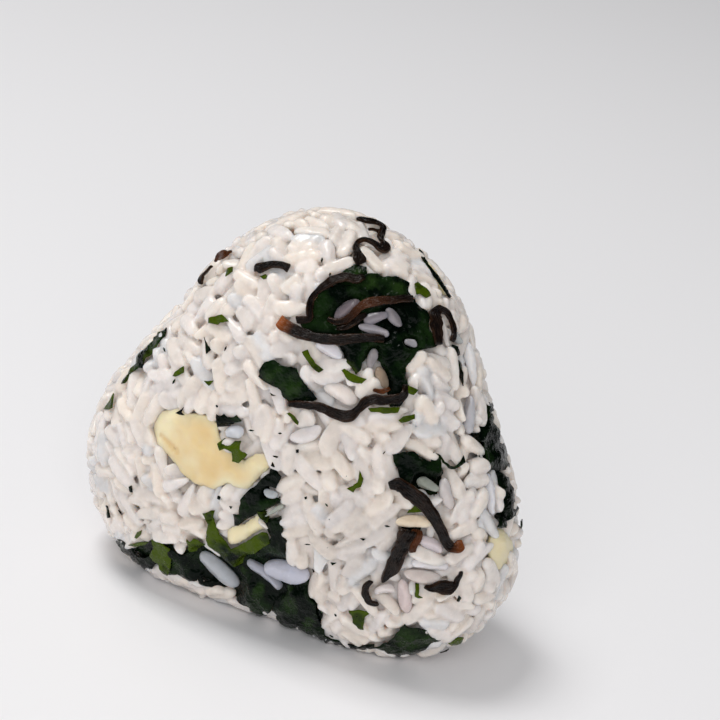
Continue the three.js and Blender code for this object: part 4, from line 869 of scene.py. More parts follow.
# Kombu: simmered strips, each with its route and widths from end to end. "amber" is how light its two tips
# are, and "red" is how red it is, where along it and how far.
kombuShape = {
    "lift": 1.45,
    "ragged": 0.2,
    "wave": 0.26,
    "waves": (6, 0.8),  # along and across the strip
    "crinkle": 0.16,
    "crinkles": (27.6, 2.2),
    "edgeLift": 0.12,
    "twist": 0.34,
    "turns": 5,
    "endDip": 0.3,
    "endReach": 0.1,
    "peek": 0.01,  # how far along the strip its direction is measured
}
plainShape = {**kombuShape, "wave": 0, "crinkle": 0, "twist": 0}
kombuBuild = {"thickness": 0.5, "stepLength": 0.35, "fewestSteps": 4, "columns": 5, "measures": 25,
              "mapWidth": 1.5, "tipReach": 0.22, "bitThickness": 0.4}
kombuStrips = [
    {"widths": [1.4, 2.3, 2.0, 1.4, 1.2, 1.4, 2.0, 1.9, 1.1, 0.9, 0.8, 0.7, 1.1, 2.0, 1.5], "thick": 0.6,
     "route": [[8.4, 39.4], [10.1, 38.7], [11.7, 38.2], [12.6, 37.4], [12.4, 36.2], [12.3, 35.3],
     [13.1, 34.3], [12.4, 33.6], [11.3, 34.4], [9.9, 35.1], [8.7, 35.1], [8, 34.5], [8, 33.6], [8.5, 32.2],
     [8.9, 31.1]]},
    {"widths": [0.9, 1.9, 1.4, 1.2, 1.6], "route": [[-9.7, 30.2], [-8.5, 30.4], [-6.8, 30.9], [-5.2, 30.9],
     [-3.6, 30.4]]},
    {"widths": [2, 2.1, 1.9, 1.8, 1.7, 1.7, 1.6, 1.5, 1.2], "amber": (1.0, 0), "thick": 0.75,
     "route": [[-5.4, 21.2], [-4.2, 20.5], [-2.4, 19.5], [0, 18.6], [2.4, 18], [5, 17.9], [7.6, 18.2],
     [10.4, 18.2], [13, 18.1]]},
    {"widths": [1.2, 1.1, 1, 1.1, 1.1, 1.1, 1.4, 1.7, 1.9, 1.7, 1], "lifts": [1.6], "route": [[-2.3, 21.3],
     [-1.2, 21.4], [-0.1, 21.6], [0, 23], [0.2, 24.4], [1.1, 26], [2.6, 27.3], [4.3, 28.3], [6.1, 28.7],
     [8.2, 28.4], [9.4, 28.9]]},
    {"widths": [0.7, 1.0, 1.1, 1.2, 1.3, 1.7, 1.5, 1.4, 1.3, 1.1], "lifts": [1.3, 1.5, 1.9, 1.9, 1.8],
     "red": (0.16, 0.5, 0.35), "route": [[3, 21.6], [4.8, 21], [6.4, 21.4], [7.6, 22.4], [8.7, 23.5],
     [10.2, 24.3], [12, 24.5], [14, 24.6], [16.2, 24.9], [17.8, 24.8]]},
    {"widths": [0.9, 1.2, 1.3, 1.5, 1.7, 1.8, 1.6, 1.5, 1.6, 1.7, 1.7, 1.6, 1.5, 1.1],
     "route": [[-3.8, 6.8], [-2, 6.7], [0, 6.5], [2, 6.2], [4, 5.4], [6, 4.7], [7.4, 4.9], [8.4, 5.9],
     [9.6, 7.1], [11, 7.5], [13, 7.5], [15, 7.6], [16.4, 8.4], [16.7, 10.2]]},
    {"widths": [1.7, 2.0, 2.2, 2.1, 1.6, 1.3, 1.2, 1.1, 1.0, 0.9], "route": [[22.4, 17.0], [22.1, 19],
     [21.8, 20.8], [21.7, 22.3], [22.3, 23.1], [23.3, 22.9], [24.2, 21.8], [24.8, 20.2], [24.9, 18.8],
     [24.8, 17.6]]},
    {"widths": [1.2, 2.2, 2.9, 2.6, 2.2, 1.9, 1.7, 1.7, 1.8, 1.9], "amber": (0, 0.6), "thick": 0.9,
     "lifts": [1.7, 1.8, 1.6, 1.5], "route": [[13.8, -7.4], [15.4, -7.2], [17.3, -8.4], [19.2, -9.9],
     [20.7, -11.7], [22.1, -13.9], [23.4, -16.5], [24.4, -18.1], [25.3, -18.2], [26.6, -17.6]]},
    {"widths": [3.0, 2.7, 2.4, 2.3, 0.7], "thick": 1.0, "route": [[17.2, -15.2], [16.3, -17.4],
     [15.3, -19.6], [14.2, -21.8], [12.6, -24.2]]},
    {"widths": [0.9, 1.1, 1.3, 1.3, 1.0], "route": [[10.7, -24], [9.7, -25.1], [9.8, -26.6], [10.7, -27.8],
     [11.9, -27.9]]},
    {"widths": [0.5, 1.4, 2.7, 2.5, 1.2, 0.7, 0.4], "lifts": [1.3, 1.5, 1.7, 1.5, 1.4], "thick": 0.8,
     "route": [[19.9, -25.2], [21.4, -25.3], [22.9, -25.0], [24.1, -24.9], [25.2, -24.6], [25.7, -23.4],
     [26.4, -22.4]]},
    {"widths": [0.7, 1.6, 1.7, 0.5], "red": (0.2, 0.5, 1), "route": [[-16.5, 31.6], [-15.6, 32.4],
     [-14.6, 32.6], [-13.6, 33.3]]},
    {"widths": [0.5, 2.2, 2, 0.6], "route": [[-19.1, 27.6], [-18.6, 28.8], [-17.9, 29.6], [-17, 30.8]]},
    {"side": "back", "widths": [1.6, 2, 2, 1.8, 1.5], "amber": (0.6, 0), "route": [[-14, 18], [-11, 21],
     [-7, 22], [-4, 20], [-2, 17]]},
    {"side": "back", "widths": [1.5, 1.8, 1.8, 1.4], "amber": (0, 0.6), "route": [[17, -6], [20, -9],
     [24, -10], [27, -8]]},
    {"side": "back", "widths": [1.4, 1.7, 1.5], "route": [[-25, -14], [-21, -12.5], [-18, -15]]},
]
kombuBits = [
    {"widths": [2.0, 1.7, 1.1], "lifts": [1.0], "red": (0.25, 0.5, 1), "route": [[18.7, -15.2],
     [18.3, -17.4], [17.8, -19.3]]},
    {"widths": [0.5, 0.9, 1.1, 0.6], "lifts": [1.3], "route": [[4.6, 19.8], [6.6, 20.2], [8.2, 21.4],
     [9.9, 22.4]]},
    {"widths": [0.5, 0.8, 0.5], "lifts": [1.3], "red": (0.3, 0.5, 1), "route": [[11, 9.2], [12.4, 8.9],
     [14, 9.4]]},
    {"widths": [0.6, 1.0, 0.8], "route": [[10.1, 37.1], [11.3, 36.9], [12.4, 36.4]]},
]

for number, strip in enumerate(kombuStrips, 1):
    mesh = stripMesh(f"kombuStrip_{number}", strip, kombuShape, kombuBuild)
    piece = addPiece(f"kombuStrip_{number}", mesh, kombuMaterial, [f"kombu_{number}"])
    finishSheet(piece, strip.get("thick", kombuBuild["thickness"]), rounded=True)

bits = joinedMesh("kombuBits", (stripMesh(f"kombuBit_{number}", strip, kombuShape, kombuBuild)
                                for number, strip in enumerate(kombuBits)))
piece = addPiece("kombuBits", bits, kombuMaterial, ["rice"])
finishSheet(piece, kombuBuild["bitThickness"], rounded=True)
print("stage: kombu strips made")

# Balls at the toppings keep the grains away: how far in from the edge they begin, their radius, how deep they
# lie and their spacing
guardRules = {
    "strip": {"inset": 0.7, "radius": 0.75, "depth": 0.3, "spacing": 0.9},
    "leaf": {"inset": 0.55, "radius": 0.85, "depths": (0.9,), "spacing": 0.9},
    "underLeaf": {"inset": 0.8, "radius": 1.0, "depths": (0.7, 2.3), "spacing": 1.0},
    "fleck": {"inset": 0.25, "radius": 0.35, "depths": (0.25,), "spacing": 0.5},
    "looseFleck": {"inset": 0.3, "radius": 0.5, "depths": (0.4,), "spacing": 0.6},
    "cheese": {"inset": 0.8, "radius": 1.0, "depths": (1.2,), "spacing": 1.0},
    "grain": {"from": 0.12, "to": 0.88, "share": 0.42, "spacing": 0.7, "fewest": 3},
}

def balls(points, radius):
    return np.concatenate([points, np.full((len(points), 1), radius)], 1)

def sheetGuards(sheet, rule):
    outline = np.array(sheet["outline"], float)
    low, high = outline.min(0), outline.max(0)
    across, up = np.meshgrid(*(np.arange(low[axis], high[axis], rule["spacing"]) for axis in (0, 1)))
    spots = np.stack([across.ravel(), up.ravel()], 1)
    spots = spots[withinOutline(spots, outline)]
    spots = spots[edgeDistance(spots, outline) > sheet.get("inset", rule["inset"])]
    if not len(spots):
        spots = outline.mean(0)[None]
    onSkin = skinSpots(sheet.get("side", "seen"), spots)
    points = [onSkin - skinNormal(onSkin) * depth for depth in rule["depths"]]
    return balls(np.concatenate(points), rule["radius"])

def stripGuards(strip, rule):
    shares = np.linspace(0, 1, max(2, math.ceil(stripLength(strip) / rule["spacing"]) + 1))
    places = []
    for share, width in zip(shares, alongList(strip["widths"], shares)):
        room = max(0.0, width / 2 - rule["inset"])
        for place in np.linspace(-room, room, 1 + 2 * math.ceil(room / rule["spacing"])):
            places.append((share, place / max(width / 2, 0.01)))
    along, across = np.array(places).T
    points = stripPoints(strip, along, across, {**plainShape, "ragged": 0})
    return balls(points - skinNormal(points) * rule["depth"], rule["radius"])

# One long pale seed, given as the bright grains are
seedBuild = {"at": (18.2, -13.9), "half": (3.3, 1.3), "turn": -3, "tint": (0.74, 0.62, 0.48), "sink": -0.6}

packing = {
    "seed": 7,
    "outer": 960,
    "inner": 700,
    "length": (5.4, 7.7),
    "width": (2.9, 3.6),
    "depth": (2.3, 2.9),
    "shortShare": 0.16,
    "shortLength": (0.62, 0.85),
    "hold": 0.39,  # share of the width that keeps other grains out
    "endHold": 0.92,
    "outerDepth": 1.1,  # middle of an outer grain under the skin
    "outerSpread": 0.3,
    "innerDepth": 2.5,
    "innerSpread": 0.4,
    "lean": 0.34,
    "standing": 0.08,  # share of grains that stand more on end
    "standingLean": (0.6, 0.95),
    "roll": 0.35,
    "cover": 0.95,  # how far both ends stay under the skin
    "over": 0.24,  # how far a grain may rise over the skin
    "steps": 60,
    "searchEvery": 6,
    "searchRoom": 0.6,
    "grainPush": 0.42,
    "guardPush": 0.3,
    "mostPush": 0.8,
    "depthPull": 0.25,
    "leanPull": 0.3,
    "endPull": 0.5,
}

scattering = {"tries": 4, "leastFacing": 0.2, "mostSkin": 3200, "belowBase": 3}

def scatter(draw, count):  # spots spread evenly over the skin, from more tries than are needed
    tries = scattering["tries"] * count
    found = np.zeros((0, 3))
    while len(found) < count:
        ways = unitRows(draw.normal(size=(tries, 3)))
        spots = ways / skinFactor(ways)[:, None]
        facing = np.maximum(scattering["leastFacing"], (skinNormal(spots) * ways).sum(1))
        skin = (spots ** 2).sum(1) / facing  # how much skin lies in this direction
        keep = draw.random(tries) * scattering["mostSkin"] < skin
        keep &= spots[:, 2] > -ball["centreHeight"] - scattering["belowBase"]
        found = np.concatenate([found, spots[keep]])
    return found[:count]

seenBuild = {"width": 1.9, "depth": 0.86, "rise": 0.25}

def seenGrain(grain):  # both ends of a grain placed by where it is seen, with its width and thickness
    way = wayAt(grain["turn"])
    spots = np.array([np.array(grain["at"]) + side * grain["half"][0] * way for side in (-1, 1)])
    ends = skinSpots("seen", spots)
    width = seenBuild["width"] * grain["half"][1]
    deep = seenBuild["depth"] * width
    ends = ends - skinNormal(ends) * (deep / 2 - seenBuild["rise"] + grain["sink"])
    return ends, width, deep

def grainGuards(grain, rule):
    (start, end), width, _ = seenGrain(grain)
    count = max(rule["fewest"], round(np.linalg.norm(end - start) / rule["spacing"]))
    shares = np.linspace(rule["from"], rule["to"], count)[:, None]
    return balls(start * (1 - shares) + end * shares, rule["share"] * width)

def toppingGuards():
    guards = [stripGuards(strip, guardRules["strip"]) for strip in kombuStrips]
    for kind, sheets in (("leaf", wakameLeaves), ("underLeaf", underLeaves),
                         ("fleck", oliveFlecks + darkFlecks), ("cheese", cheeseSlices)):
        guards += [sheetGuards(sheet, guardRules[kind]) for sheet in sheets]
    guards += [grainGuards(grain, guardRules["grain"]) for grain in brightGrains + [seedBuild]]
    return np.concatenate(guards)

def nearestOnPair(middles, ways, halves, first, second):  # closest places of two grains' middle lines
    apart = middles[first] - middles[second]
    lean = (ways[first] * ways[second]).sum(1)
    along = (ways[first] * apart).sum(1)
    other = (ways[second] * apart).sum(1)
    onFirst = np.clip((lean * other - along) / np.maximum(1 - lean ** 2, 0.02), -halves[first], halves[first])
    onSecond = np.clip(lean * onFirst + other, -halves[second], halves[second])
    onFirst = np.clip(lean * onSecond - along, -halves[first], halves[first])
    gap = apart + ways[first] * onFirst[:, None] - ways[second] * onSecond[:, None]
    return onFirst, onSecond, gap

def summed(rows, index, count):  # the rows added up for each index
    return np.stack([np.bincount(index, rows[:, axis], count) for axis in range(3)], 1)

def pushed(gap, room):  # the way out of an overlap, from the gap between two middles and the room they need
    length = np.maximum(np.linalg.norm(gap, axis=1), 1e-6)
    return gap / length[:, None] * np.maximum(room - length, 0)[:, None]

def arms(spot, half, radius):  # how much a push at a spot on a grain turns it
    return (spot / (half ** 2 + radius ** 2))[:, None]

def relaxGrains(grains, guards, settings):
    middles, ways, halves, radii = grains["middle"], grains["way"], grains["half"], grains["radius"]
    count = len(middles)
    for step in range(settings["steps"]):
        if step % settings["searchEvery"] == 0:
            room = settings["searchRoom"]
            square = (middles ** 2).sum(1)
            far = square[:, None] + square[None, :] - 2 * middles @ middles.T
            reach = halves + radii
            first, second = np.nonzero(np.triu(far < (reach[:, None] + reach[None, :] + room) ** 2, 1))
            toGuard = square[:, None] + (guards[:, :3] ** 2).sum(1)[None, :] - 2 * middles @ guards[:, :3].T
            grainOf, guardOf = np.nonzero(toGuard < (reach[:, None] + guards[None, :, 3] + room) ** 2)
        push = np.zeros((count, 3))
        turn = np.zeros((count, 3))
        onFirst, onSecond, gap = nearestOnPair(middles, ways, halves, first, second)
        move = pushed(gap, radii[first] + radii[second]) * 0.5  # each grain makes half of the way
        for index, moved, spot in ((first, move, onFirst), (second, -move, onSecond)):
            push += summed(moved, index, count) * settings["grainPush"]
            arm = arms(spot, halves[index], radii[index])
            turn += summed(moved * arm, index, count) * settings["grainPush"]
        offset = guards[guardOf, :3] - middles[grainOf]
        along = np.clip((offset * ways[grainOf]).sum(1), -halves[grainOf], halves[grainOf])
        move = pushed(ways[grainOf] * along[:, None] - offset, radii[grainOf] + guards[guardOf, 3])
        arm = arms(along, halves[grainOf], radii[grainOf])
        push += summed(move, grainOf, count) * settings["guardPush"]
        turn += summed(move * arm, grainOf, count) * settings["guardPush"]
        size = np.linalg.norm(push, axis=1)
        push *= np.minimum(1, settings["mostPush"] / np.maximum(size, 1e-6))[:, None]
        middles += push
        ways[:] = unitRows(ways + turn)
        normal = skinNormal(middles)
        depth = skinDepth(middles)
        middles += normal * ((depth - grains["depth"]) * settings["depthPull"])[:, None]
        tilt = (ways * normal).sum(1) - grains["tilt"]
        ways[:] = unitRows(ways - normal * (tilt * settings["leanPull"])[:, None])
        for end in (-1, 1):  # both ends stay under the skin and over the base
            tips = middles + ways * (halves * end)[:, None]
            proud = np.maximum(settings["cover"] - skinDepth(tips), 0)
            low = np.maximum(-ball["centreHeight"] + grains["size"]["depth"] / 2 - tips[:, 2], 0)
            lift = -skinNormal(tips) * proud[:, None] + np.array([0, 0, 1]) * low[:, None]
            middles += lift * settings["endPull"]
            ways[:] = unitRows(ways + lift * (end * settings["endPull"] / np.maximum(halves, 1))[:, None])
    return grains

def makeGrains(settings, guards):
    draw = np.random.default_rng(settings["seed"])
    count = settings["outer"] + settings["inner"]
    middles = scatter(draw, count)
    middles[settings["outer"]:] = scatter(draw, settings["inner"])
    outer = np.arange(count) < settings["outer"]
    depth = np.where(outer, settings["outerDepth"] + np.abs(draw.normal(0, settings["outerSpread"], count)),
                     settings["innerDepth"] + draw.normal(0, settings["innerSpread"], count))
    normal = skinNormal(middles)
    ways = unitRows(np.cross(draw.normal(size=(count, 3)), normal))
    size = {key: draw.uniform(*settings[key], count) for key in ("length", "width", "depth")}
    short = draw.random(count) < settings["shortShare"]
    shorter = size["length"] * draw.uniform(*settings["shortLength"], count)
    size["length"] = np.where(short, shorter, size["length"])
    radius = settings["hold"] * size["width"]
    standing = draw.random(count) < settings["standing"]
    grains = {
        "middle": middles - normal * depth[:, None],
        "way": ways,
        "half": np.maximum(size["length"] / 2 - radius, 0.5) * settings["endHold"],
        "radius": radius,
        "depth": depth,
        "tilt": np.where(standing, draw.uniform(*settings["standingLean"], count),
                         draw.normal(0, settings["lean"], count)),
        "size": size,
        "roll": draw.normal(0, settings["roll"], count),
        "shape": draw.integers(0, grainBuild["shapes"], count),
        "flip": draw.random(count) < 0.5,
        "mood": draw.random(count),
        "speck": draw.random((count, 3)),
    }
    return relaxGrains(grains, guards, settings)

grainBuild = {
    "seed": 3,
    "shapes": 12,
    "around": 14,
    "rings": 11,
    "fullness": 2.7,
    "taper": 0.14,
    "flats": 4,  # sides pressed flat by the next grains
    "flatTip": 0.5,
    "flatReach": (0.5, 0.8),
    "flatShare": 0.85,
    "bend": 0.3,
    "curl": (-0.08, 0.14),
    "notch": (0, 0.2),  # where the germ was
    "uneven": 0.1,
    "floorRoom": 0.02,
}

def grainShapes(build):  # differently bent, tapered and pressed grains, 2 long, 2 wide and 2 deep
    draw = np.random.default_rng(build["seed"])
    body = bmesh.new()
    bmesh.ops.create_uvsphere(body, u_segments=build["around"], v_segments=build["rings"], radius=1.0)
    unit = np.array([corner.co for corner in body.verts])
    faces = [[corner.index for corner in face.verts] for face in body.faces]
    body.free()
    along = unit[:, 2]
    girth = np.hypot(unit[:, 0], unit[:, 1])
    fuller = (1 - np.abs(along) ** build["fullness"]) ** 0.5 / np.maximum(girth, 1e-6)
    fuller = np.where(girth > 1e-6, fuller, 0)
    shapes = []
    for _ in range(build["shapes"]):
        taper = 1 + draw.uniform(-build["taper"], build["taper"]) * along
        wide = unit[:, 0] * fuller * taper
        deep = unit[:, 1] * fuller * taper
        for _ in range(build["flats"]):
            turn = draw.uniform(0, 2 * math.pi)
            tip = draw.uniform(-build["flatTip"], build["flatTip"])
            reach = wide * math.cos(turn) + deep * math.sin(turn) + along * tip
            over = np.maximum(reach - draw.uniform(*build["flatReach"]), 0) * build["flatShare"]
            wide = wide - over * math.cos(turn)
            deep = deep - over * math.sin(turn)
        wide = wide + draw.uniform(-build["bend"], build["bend"]) * (along ** 2 - 0.4)
        deep = deep + draw.uniform(*build["curl"]) * (along ** 2 - 0.4)
        notch = draw.uniform(*build["notch"]) * np.exp(-((along - 0.8) / 0.25) ** 2)
        wide = wide - notch * np.maximum(wide, 0)
        shapes.append(np.stack([along, wide, deep], 1))
    return shapes, faces

def grainMesh(name, grains, colours, over, build):
    shapes, faces = grainShapes(build)
    perGrain = len(shapes[0])
    normals = skinNormal(grains["middle"])
    points = []
    allFaces = []
    for index, (middle, way, normal) in enumerate(zip(grains["middle"], grains["way"], normals)):
        upward = normal - way * (way @ normal)
        upward = upward / max(np.linalg.norm(upward), 1e-6)
        sideways = np.cross(upward, way)
        roll = grains["roll"][index]
        upward, sideways = (math.cos(roll) * upward + math.sin(roll) * sideways,
                            math.cos(roll) * sideways - math.sin(roll) * upward)
        flip = grains["flip"][index]
        along, wide, deep = shapes[grains["shape"][index]].T
        length, width, depth = (grains["size"][key][index] for key in ("length", "width", "depth"))
        points.append(middle + (np.outer(-along if flip else along, way) * length / 2
                                + np.outer(wide, sideways) * width / 2 + np.outer(deep, upward) * depth / 2))
        turned = [face[::-1] for face in faces] if flip else faces
        allFaces.extend([[corner + index * perGrain for corner in face] for face in turned])
    points = np.concatenate(points)
    uneven = np.sin(points @ np.array([1.9, 1.3, 0.7]) + 1.1)
    uneven = uneven * np.sin(points @ np.array([-0.8, 1.6, 1.7]) + 0.4)
    points += skinNormal(points) * (build["uneven"] * uneven)[:, None]
    proud = np.maximum(-over - skinDepth(points), 0)  # the skin and the flat base hold every point in
    points -= skinNormal(points) * proud[:, None]
    points[:, 2] = np.maximum(points[:, 2], -ball["centreHeight"] + build["floorRoom"])
    mesh = bpy.data.meshes.new(name)
    mesh.from_pydata(insideBox(placed(points)).tolist(), [], allFaces)
    paintTint(mesh, np.repeat(colours, perGrain, axis=0))
    return mesh

def paintTint(mesh, colours):
    tint = mesh.color_attributes.new("tint", "FLOAT_COLOR", "POINT")
    rows = np.concatenate([colours, np.ones((len(colours), 1))], 1)
    tint.data.foreach_set("color", rows.astype(np.float32).ravel())

# painted shade: grains on the lower face are drawn darker, where less light falls
paintedLowShade = {"at": (6.0, -21.0), "reach": 9.0, "depth": 0.15}  # the lower face is a little greyer

def grainColours(grains):
    count = len(grains["middle"])
    colours = np.tile(np.array(riceFinish["milky"]), (count, 1))
    # painted shade on the lower face
    away = np.linalg.norm(grains["middle"] - skinSpots("seen", np.array([paintedLowShade["at"]])), axis=1)
    colours *= 1 - paintedLowShade["depth"] * np.exp(-(away[:, None] / paintedLowShade["reach"]) ** 2)
    light, warm = grains["speck"][:, :1], grains["speck"][:, 1:2]
    colours *= 1 + (light - riceFinish["lightMiddle"]) * riceFinish["lightSpread"]
    warm = (warm - 0.5) * riceFinish["warmSpread"]
    colours *= np.concatenate([1 + warm, 1 + warm * 0.3, 1 - warm], 1)
    clear = grains["mood"] < riceFinish["clearShare"]
    least, more = riceFinish["clearTones"]
    colours[clear] = np.array(riceFinish["clear"]) * (least + more * light[clear])
    return colours

coreBuild = {"depth": 2.6, "detail": 6, "bumps": 0.4, "bumpScale": 14, "floorRoom": 0.6}

def coreMesh(name, build, low, high):  # the part of the core between two depths, closed
    body = bmesh.new()
    bmesh.ops.create_icosphere(body, subdivisions=build["detail"], radius=1.0)
    corners = list(body.verts)
    ways = np.array([corner.co for corner in corners])
    bumps = np.array([noise.noise(corner.co * build["bumpScale"]) for corner in corners]) * build["bumps"]
    spots = pressed(ways, ball["coreInset"] - build["depth"] + bumps)
    spots[:, 2] = np.maximum(spots[:, 2], -ball["centreHeight"] + build["floorRoom"])
    for corner, spot in zip(corners, placed(spots)):
        corner.co = spot
    for place, way in ((low, -1), (high, 1)):
        everything = body.verts[:] + body.edges[:] + body.faces[:]
        cut = bmesh.ops.bisect_plane(body, geom=everything, clear_outer=True, plane_co=(0, place * mm, 0),
                                     plane_no=(0, way, 0))
        edges = [piece for piece in cut["geom_cut"] if isinstance(piece, bmesh.types.BMEdge)]
        bmesh.ops.holes_fill(body, edges=edges)
    return meshFrom(body, name)

meldBuild = {
    "voxel": 0.00024,
    "smoothing": 0.5,
    "rounds": 3,
    "mostFaces": 185000,
    "colourSpots": (-0.9, -0.45, 0, 0.45, 0.9),  # along a grain, from its middle to its ends
    "colourRounds": 1,
}

def edgeEnds(mesh):
    edges = np.zeros(len(mesh.edges) * 2, np.int64)
    mesh.edges.foreach_get("vertices", edges)
    return edges.reshape(-1, 2).T

def cornerSpots(mesh):
    points = np.zeros(len(mesh.vertices) * 3)
    mesh.vertices.foreach_get("co", points)
    return points.reshape(-1, 3)

def largestIsland(mesh):  # the outer shell, without the shells of trapped hollows
    first, second = edgeEnds(mesh)
    labels = np.arange(len(mesh.vertices))
    while True:
        least = np.minimum(labels[first], labels[second])
        fresh = labels.copy()
        np.minimum.at(fresh, first, least)
        np.minimum.at(fresh, second, least)
        fresh = fresh[fresh]
        if (fresh == labels).all():
            break
        labels = fresh
    names, sizes = np.unique(labels, return_counts=True)
    return labels == names[sizes.argmax()]

def bakedMesh(holder):  # the mesh with its modifiers, as a new one
    bpy.context.view_layer.update()
    return bpy.data.meshes.new_from_object(holder.evaluated_get(bpy.context.evaluated_depsgraph_get()))

def meldParts(name, parts, build):  # sticky grains, pressed into one skin
    loose = joinedMesh("loose", parts)
    holder = newObject("loose", loose)
    remesh = holder.modifiers.new("meld", "REMESH")
    remesh.mode = "VOXEL"
    remesh.voxel_size = build["voxel"]
    mesh = bakedMesh(holder)
    kept = largestIsland(mesh)
    trimmed = bmesh.new()
    trimmed.from_mesh(mesh)
    hidden = [corner for corner, keep in zip(trimmed.verts, kept) if not keep]
    bmesh.ops.delete(trimmed, geom=hidden, context="VERTS")
    trimmed.to_mesh(mesh)
    trimmed.free()
    holder.modifiers.clear()
    holder.data = mesh
    bpy.data.meshes.remove(loose)
    smooth = holder.modifiers.new("smooth", "SMOOTH")
    smooth.factor = build["smoothing"]
    smooth.iterations = build["rounds"]
    thin = holder.modifiers.new("thin", "DECIMATE")
    thin.ratio = min(1, build["mostFaces"] / (2 * len(mesh.polygons)))
    thinned = bakedMesh(holder)
    bpy.data.objects.remove(holder)
    bpy.data.meshes.remove(mesh)
    thinned.name = name
    thinned.vertices.foreach_set("co", insideBox(cornerSpots(thinned)).ravel())
    print("stage: grains melded", len(thinned.vertices), "corners", len(thinned.polygons), "faces")
    return thinned

def paintGrains(mesh, grains, colours, build):  # each corner takes its nearest grain's colour, softened
    points = cornerSpots(mesh)
    tree = kdtree.KDTree(len(grains["middle"]) * len(build["colourSpots"]))
    for share in build["colourSpots"]:
        spots = placed(grains["middle"] + grains["way"] * (grains["half"] * share)[:, None])
        for index, spot in enumerate(spots):
            tree.insert(spot, index)
    tree.balance()
    shade = colours[[tree.find(point)[1] for point in points]]
    first, second = edgeEnds(mesh)
    share = np.bincount(np.concatenate([first, second]), minlength=len(points))[:, None] + 1
    for _ in range(build["colourRounds"]):
        total = shade.copy()
        total += summed(shade[second], first, len(points))
        total += summed(shade[first], second, len(points))
        shade = total / share
    paintTint(mesh, shade)

# Small flecks scattered on the back, and tiny dark specks all over, clear of the other toppings
looseBuild = {"seed": 5, "sides": ("back",), "tries": 120, "kept": 0.4, "long": (0.7, 1.9),
              "wide": (0.3, 0.7), "spread": 30, "clear": 3.0, "fromRim": 3}
speckBuild = {"seed": 21, "sides": ("front", "back"), "tries": 90, "kept": 0.45, "long": (0.25, 0.55),
              "wide": (0.08, 0.2), "spread": 27, "clear": 2.2, "fromRim": 2}

fleckCorners = ((1, 0), (0.3, 1), (-0.4, 0.7), (-1, 0), (0.2, -1))  # shares of a fleck's length and width

def scatteredFlecks(build, guards):
    draw = np.random.default_rng(build["seed"])
    flecks = []
    for side in build["sides"]:
        spots = draw.uniform(-build["spread"], build["spread"], (build["tries"], 2))
        for spot, point in zip(spots, skinSpots(side, spots)):
            turn = draw.uniform(0, 2 * math.pi)
            long = np.array([math.cos(turn), math.sin(turn)]) * draw.uniform(*build["long"])
            wide = np.array([-math.sin(turn), math.cos(turn)]) * draw.uniform(*build["wide"])
            gap = np.linalg.norm(guards[:, :3] - point, axis=1).min()
            edge = skinDepth(np.array([[spot[0], 0, spot[1]]]))[0]
            if gap > build["clear"] and edge > build["fromRim"] and draw.random() < build["kept"]:
                outline = [tuple(spot + (along * long + across * wide)) for along, across in fleckCorners]
                flecks.append({"side": side, "outline": outline})
    return flecks

guards = toppingGuards()
looseFlecks = scatteredFlecks(looseBuild, guards)
guards = np.concatenate([guards] + [sheetGuards(fleck, guardRules["looseFleck"]) for fleck in looseFlecks])
specks = scatteredFlecks(speckBuild, guards)
looseSheet = {**fleckBuild, "lift": 1.3}
for name, sheets, material in (("looseOliveFlecks", looseFlecks[::2], oliveMaterial),
                               ("looseDarkFlecks", looseFlecks[1::2], wakameMaterial),
                               ("darkSpecks", specks, wakameMaterial)):
    mesh = joinedSheets(name, sheets, looseSheet)
    finishSheet(addPiece(name, mesh, material, ["rice"]), looseSheet["thickness"])
print("stage:", len(looseFlecks), "loose flecks and", len(specks), "specks made")

grains = makeGrains(packing, guards)
print("stage: grains packed", len(guards), "guards")
colours = grainColours(grains)

def chosenGrains(grains, rows):
    chosen = {key: value[rows] for key, value in grains.items() if key != "size"}
    chosen["size"] = {key: value[rows] for key, value in grains["size"].items()}
    return chosen

# The rice in three bands, as one mesh would be too large: where each begins and ends, in millimetres
riceBands = {"riceFront": (-99, -7), "riceRim": (-7, 7), "riceBack": (7, 99)}
for name, (low, high) in riceBands.items():
    rows = (grains["middle"][:, 1] > low) & (grains["middle"][:, 1] <= high)
    band = chosenGrains(grains, rows)
    parts = [grainMesh("grains", band, colours[rows], packing["over"], grainBuild),
             coreMesh("core", coreBuild, low, high)]
    mesh = meldParts(name, parts, meldBuild)
    paintGrains(mesh, band, colours[rows], meldBuild)
    addPiece(name, mesh, riceMaterial, ["rice"])
print("stage: rice made")

clearBuild = {**grainBuild, "around": 20, "rings": 14, "flats": 5, "fullness": 2.15}
clearLook = {"seed": 11, "roll": 0.15, "over": 0.75}

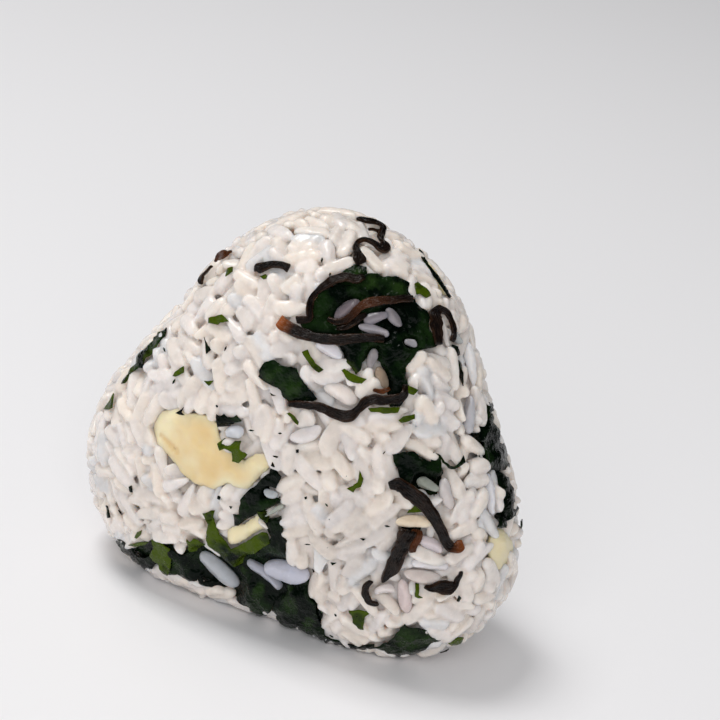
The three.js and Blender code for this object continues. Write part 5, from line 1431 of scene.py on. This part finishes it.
def clearGrainMesh(name, listed, look):  # grains that keep their own outline
    ends, width, deep = (np.array(values) for values in zip(*[seenGrain(grain) for grain in listed]))
    first, last = ends[:, 0], ends[:, 1]
    draw = np.random.default_rng(look["seed"])
    count = len(listed)
    grains = {
        "middle": (first + last) / 2,
        "way": unitRows(last - first),
        "size": {"length": np.linalg.norm(last - first, axis=1), "width": width, "depth": deep},
        "roll": draw.normal(0, look["roll"], count),
        "shape": draw.integers(0, grainBuild["shapes"], count),
        "flip": draw.random(count) < 0.5,
    }
    # the listed tints, the dark ones painted shade
    colours = np.array([grain["tint"] for grain in listed])
    return grainMesh(name, grains, colours, look["over"], clearBuild)

for name, listed in (("brightGrains", brightGrains), ("paleSeed", [seedBuild])):
    addPiece(name, clearGrainMesh(name, listed, clearLook), riceMaterial, ["rice"])
print("stage: bright grains made")

stageLook = {
    "floorSize": 6.0,
    "floor": {"Base Color": (0.86, 0.86, 0.88, 1), "Roughness": 0.6},
    "sky": (1.0, 1.0, 1.0, 1),
    "skyStrength": 0.42,
    "lights": [  # name, place, size, watts, colour
        ("keyLight", (-0.4, 0.0, 1.0), 0.35, 5.6, (1.0, 0.985, 0.97)),
        ("fillLight", (0.2, -1.0, 0.5), 0.9, 6.0, (1.0, 0.985, 0.975)),
    ],
}

def makeStage(look):
    body = bmesh.new()
    bmesh.ops.create_grid(body, x_segments=1, y_segments=1, size=look["floorSize"] / 2)
    floor = newObject("floor", meshFrom(body, "floor"))
    floor.data.materials.append(plainMaterial("paleFloor", look["floor"]))
    world = bpy.data.worlds.new("softSky")
    world.use_nodes = True
    sky = world.node_tree.nodes["Background"]
    sky.inputs["Color"].default_value = look["sky"]
    sky.inputs["Strength"].default_value = look["skyStrength"]
    world.cycles_visibility.glossy = False  # the sky gives soft light and no sheen
    bpy.context.scene.world = world
    for name, place, size, watts, colour in look["lights"]:
        lamp = newObject(name, bpy.data.lights.new(name, "AREA"))
        lamp.data.size = size
        lamp.data.energy = watts
        lamp.data.color = colour
        lamp.visible_glossy = name == "keyLight"  # one lamp makes the small glints
        lamp.location = place
        lamp.rotation_mode = "QUATERNION"
        aim = Vector((0, 0, ball["centreHeight"] * mm)) - Vector(place)
        lamp.rotation_quaternion = aim.to_track_quat("-Z", "Y")
    bpy.context.scene.view_settings.view_transform = "Standard"

makeStage(stageLook)
print("stage: floor and light made")
